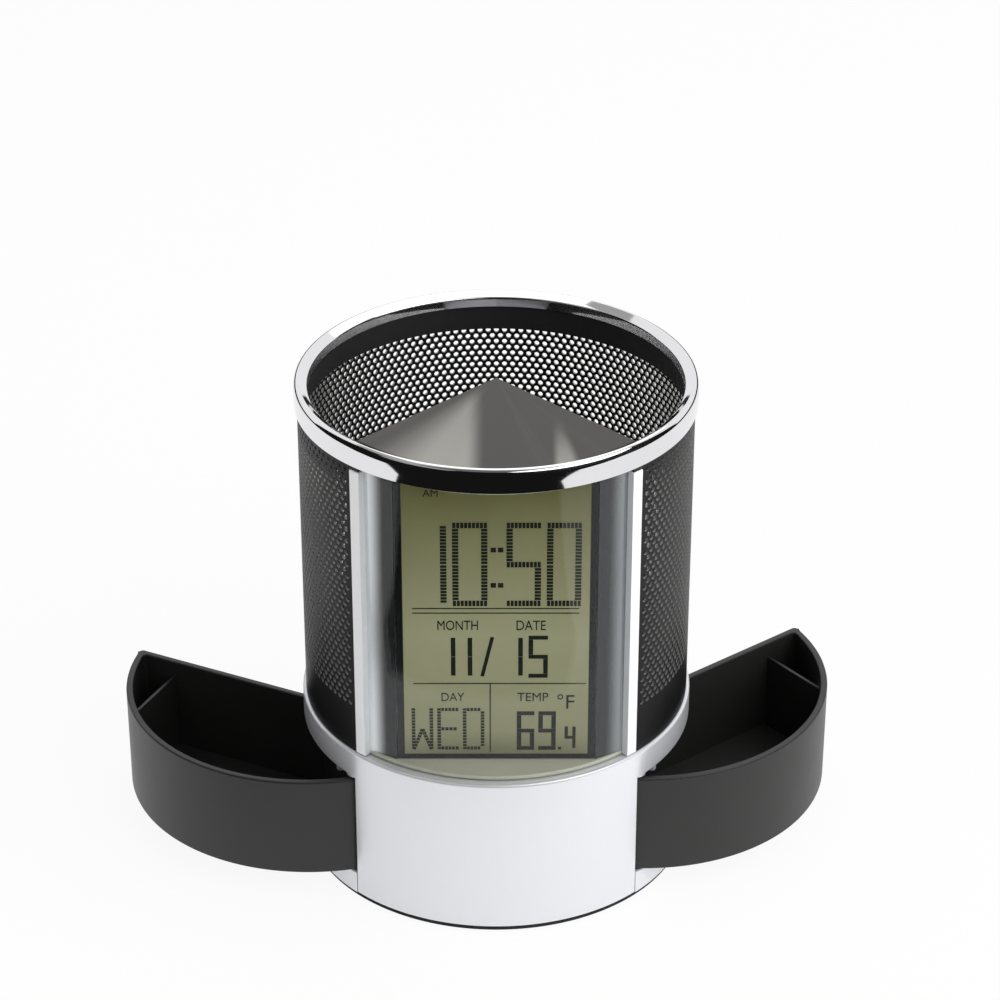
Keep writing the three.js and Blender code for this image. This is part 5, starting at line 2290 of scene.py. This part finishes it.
@dataclass
class Studio:
    """Pale floor, soft lamps, dark flags for the bright metal to show, and the camera."""

    lens: float = 114.26
    sensor: float = 36.0
    camera_at: Place = (0.00095, -0.6966, 0.4843)
    aim: Place = (0.00095, 0.0, 0.0966)
    lamp_aim: Place = (0.0, 0.0, 0.07)
    lamps: tuple[Lamp, ...] = (
        Lamp("key_lamp", (0.95, -0.6, 0.85), 1.6, 19.5),
        Lamp("fill_lamp", (-0.9, -0.7, 0.9), 0.9, 1.0),
        Lamp("top_lamp", (0.1, 0.5, 1.3), 1.1, 4.0),
    )
    world: float = 0.42
    floor_reach: float = 4.0
    floor_level: float = -0.0003
    flag_far: float = 1100.0
    flag_near: float = 155.0
    flag_low: float = 1.2
    front_top: float = 1500.0
    rear_top: float = 240.0
    # Angles in degrees and radii in millimetres along the left and the right side of the floor flag
    left_edge: tuple[Point, ...] = (
        (-60, 180), (-56, 200), (-53, 240), (-51.5, 280), (-55, 325), (-60, 370), (-68, 450), (-78, 640),
    )
    right_edge: tuple[Point, ...] = (
        (64, 640), (53, 450), (44, 370), (37.5, 325), (33.5, 280), (35, 240), (38, 200), (42, 180),
    )

    def build(self) -> None:
        """Sets up everything round the object."""
        scene = bpy.context.scene
        scene.view_settings.view_transform = "Standard"
        self._world(scene)
        self._floor()
        self._flags()
        for lamp in self.lamps:
            lamp.build(self.lamp_aim)
        self._camera(scene)

    def _world(self, scene: bpy.types.Scene) -> None:
        """Even white world that lights less than it shows.

        Args:
            scene: Scene that gets it.
        """
        world = bpy.data.worlds.new("studio")
        scene.world = world
        world.use_nodes = True
        graph = Graph(world.node_tree)
        strength = self.world + (1 - self.world) * graph.seen()
        light = graph.node("Background", None, {"Color": PURE_WHITE, "Strength": strength})
        graph.end(light, "OutputWorld")

    def _floor(self) -> None:
        """Wide pale floor that keeps the shadow."""
        mesh = bpy.data.meshes.new("floor")
        square = rectangle(-self.floor_reach, self.floor_reach, -self.floor_reach, self.floor_reach)
        mesh.from_pydata([(x, y, self.floor_level) for x, y in square], [], [(0, 1, 2, 3)])
        mesh.materials.append(StudioFloor("studio_floor").material())
        floor = bpy.data.objects.new("floor", mesh)
        bpy.context.scene.collection.objects.link(floor)
        floor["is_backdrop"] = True

    def _flags(self) -> None:
        """Dark cards on the floor, all round and overhead, seen only in reflections."""
        black = Card("black_flag", 0.008)
        far, low = self.flag_far, self.flag_low
        ground = [polar(radius, angle) for angle, radius in self.left_edge] + arc(far, -84, 68)
        ground += [polar(radius, angle) for angle, radius in self.right_edge] + arc(self.flag_near, 36, -56)
        self._flag("floor_flag", black, [[(x, y, low) for x, y in ground]])
        walls = (("front_flag", -112, 112, self.front_top), ("rear_flag", 112, 248, self.rear_top))
        for name, start, stop, top in walls:
            rim = arc(far, start, stop, 4.0)
            wall = [[(*a, low), (*b, low), (*b, top), (*a, top)] for a, b in zip(rim, rim[1:])]
            self._flag(name, black, wall)
        hoods = (("front_hood", 0.15, -60, 30, 60), ("rear_hood", 0.42, 30, 300, 1))
        for name, glow, start, stop, near in hoods:
            hood = [*arc(far, start, stop), *arc(near, stop, start)]
            self._flag(name, Card(name, glow), [[(x, y, self.front_top) for x, y in hood]])

    @staticmethod
    def _flag(name: str, card: Card, faces: list[list[Place]]) -> None:
        """Sheet of faces that only glossy rays see.

        Args:
            name: Name of the sheet.
            card: What it is made of.
            faces: Corners of each face, in millimetres.
        """
        sheet = Shell()
        sheet.faces = [tuple(sheet.row(face)) for face in faces]
        mesh = bpy.data.meshes.new(name)
        mesh.from_pydata([(x * MM, y * MM, z * MM) for x, y, z in sheet.points], [], sheet.faces)
        mesh.materials.append(card.material())
        flag = bpy.data.objects.new(name, mesh)
        bpy.context.scene.collection.objects.link(flag)
        flag.visible_camera = False
        flag.visible_diffuse = False
        flag.visible_shadow = False
        flag.visible_transmission = False
        flag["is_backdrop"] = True

    def _camera(self, scene: bpy.types.Scene) -> None:
        """Camera at the photograph's angle.

        Args:
            scene: Scene that gets it.
        """
        data = bpy.data.cameras.new("camera")
        data.lens = self.lens
        data.sensor_width = self.sensor
        camera = bpy.data.objects.new("camera", data)
        scene.collection.objects.link(camera)
        camera.location = self.camera_at
        camera.rotation_euler = aimed(self.camera_at, self.aim)
        scene.camera = camera


def corners(box: tuple[Vector, Vector]) -> list[list[float]]:
    """Two corners as plain lists of numbers."""
    return [[float(value) for value in corner] for corner in box]


def main() -> None:
    """Builds the object round the frame, then the studio."""
    logging.basicConfig(level=logging.INFO, format="%(message)s")
    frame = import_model()
    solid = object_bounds()
    parts = [
        Pad(),
        BasePan(),
        BaseShell(),
        Drawer(Side.LEFT, 64.0),
        Drawer(Side.RIGHT, 51.5),
        Buttons(),
        BaseScrews(),
        MeshSleeve(),
        CupLinings(),
        TopRing(),
        ClockCap(),
        Window(),
        Display(),
        CarriedOver(frame["nodes"]),
    ]
    for part in parts:
        log.info("building %s", type(part).__name__)
        part.build()
    Studio().build()
    {"solid": corners(solid), "dressed": corners(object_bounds())}


if __name__ == "__main__":
    main()
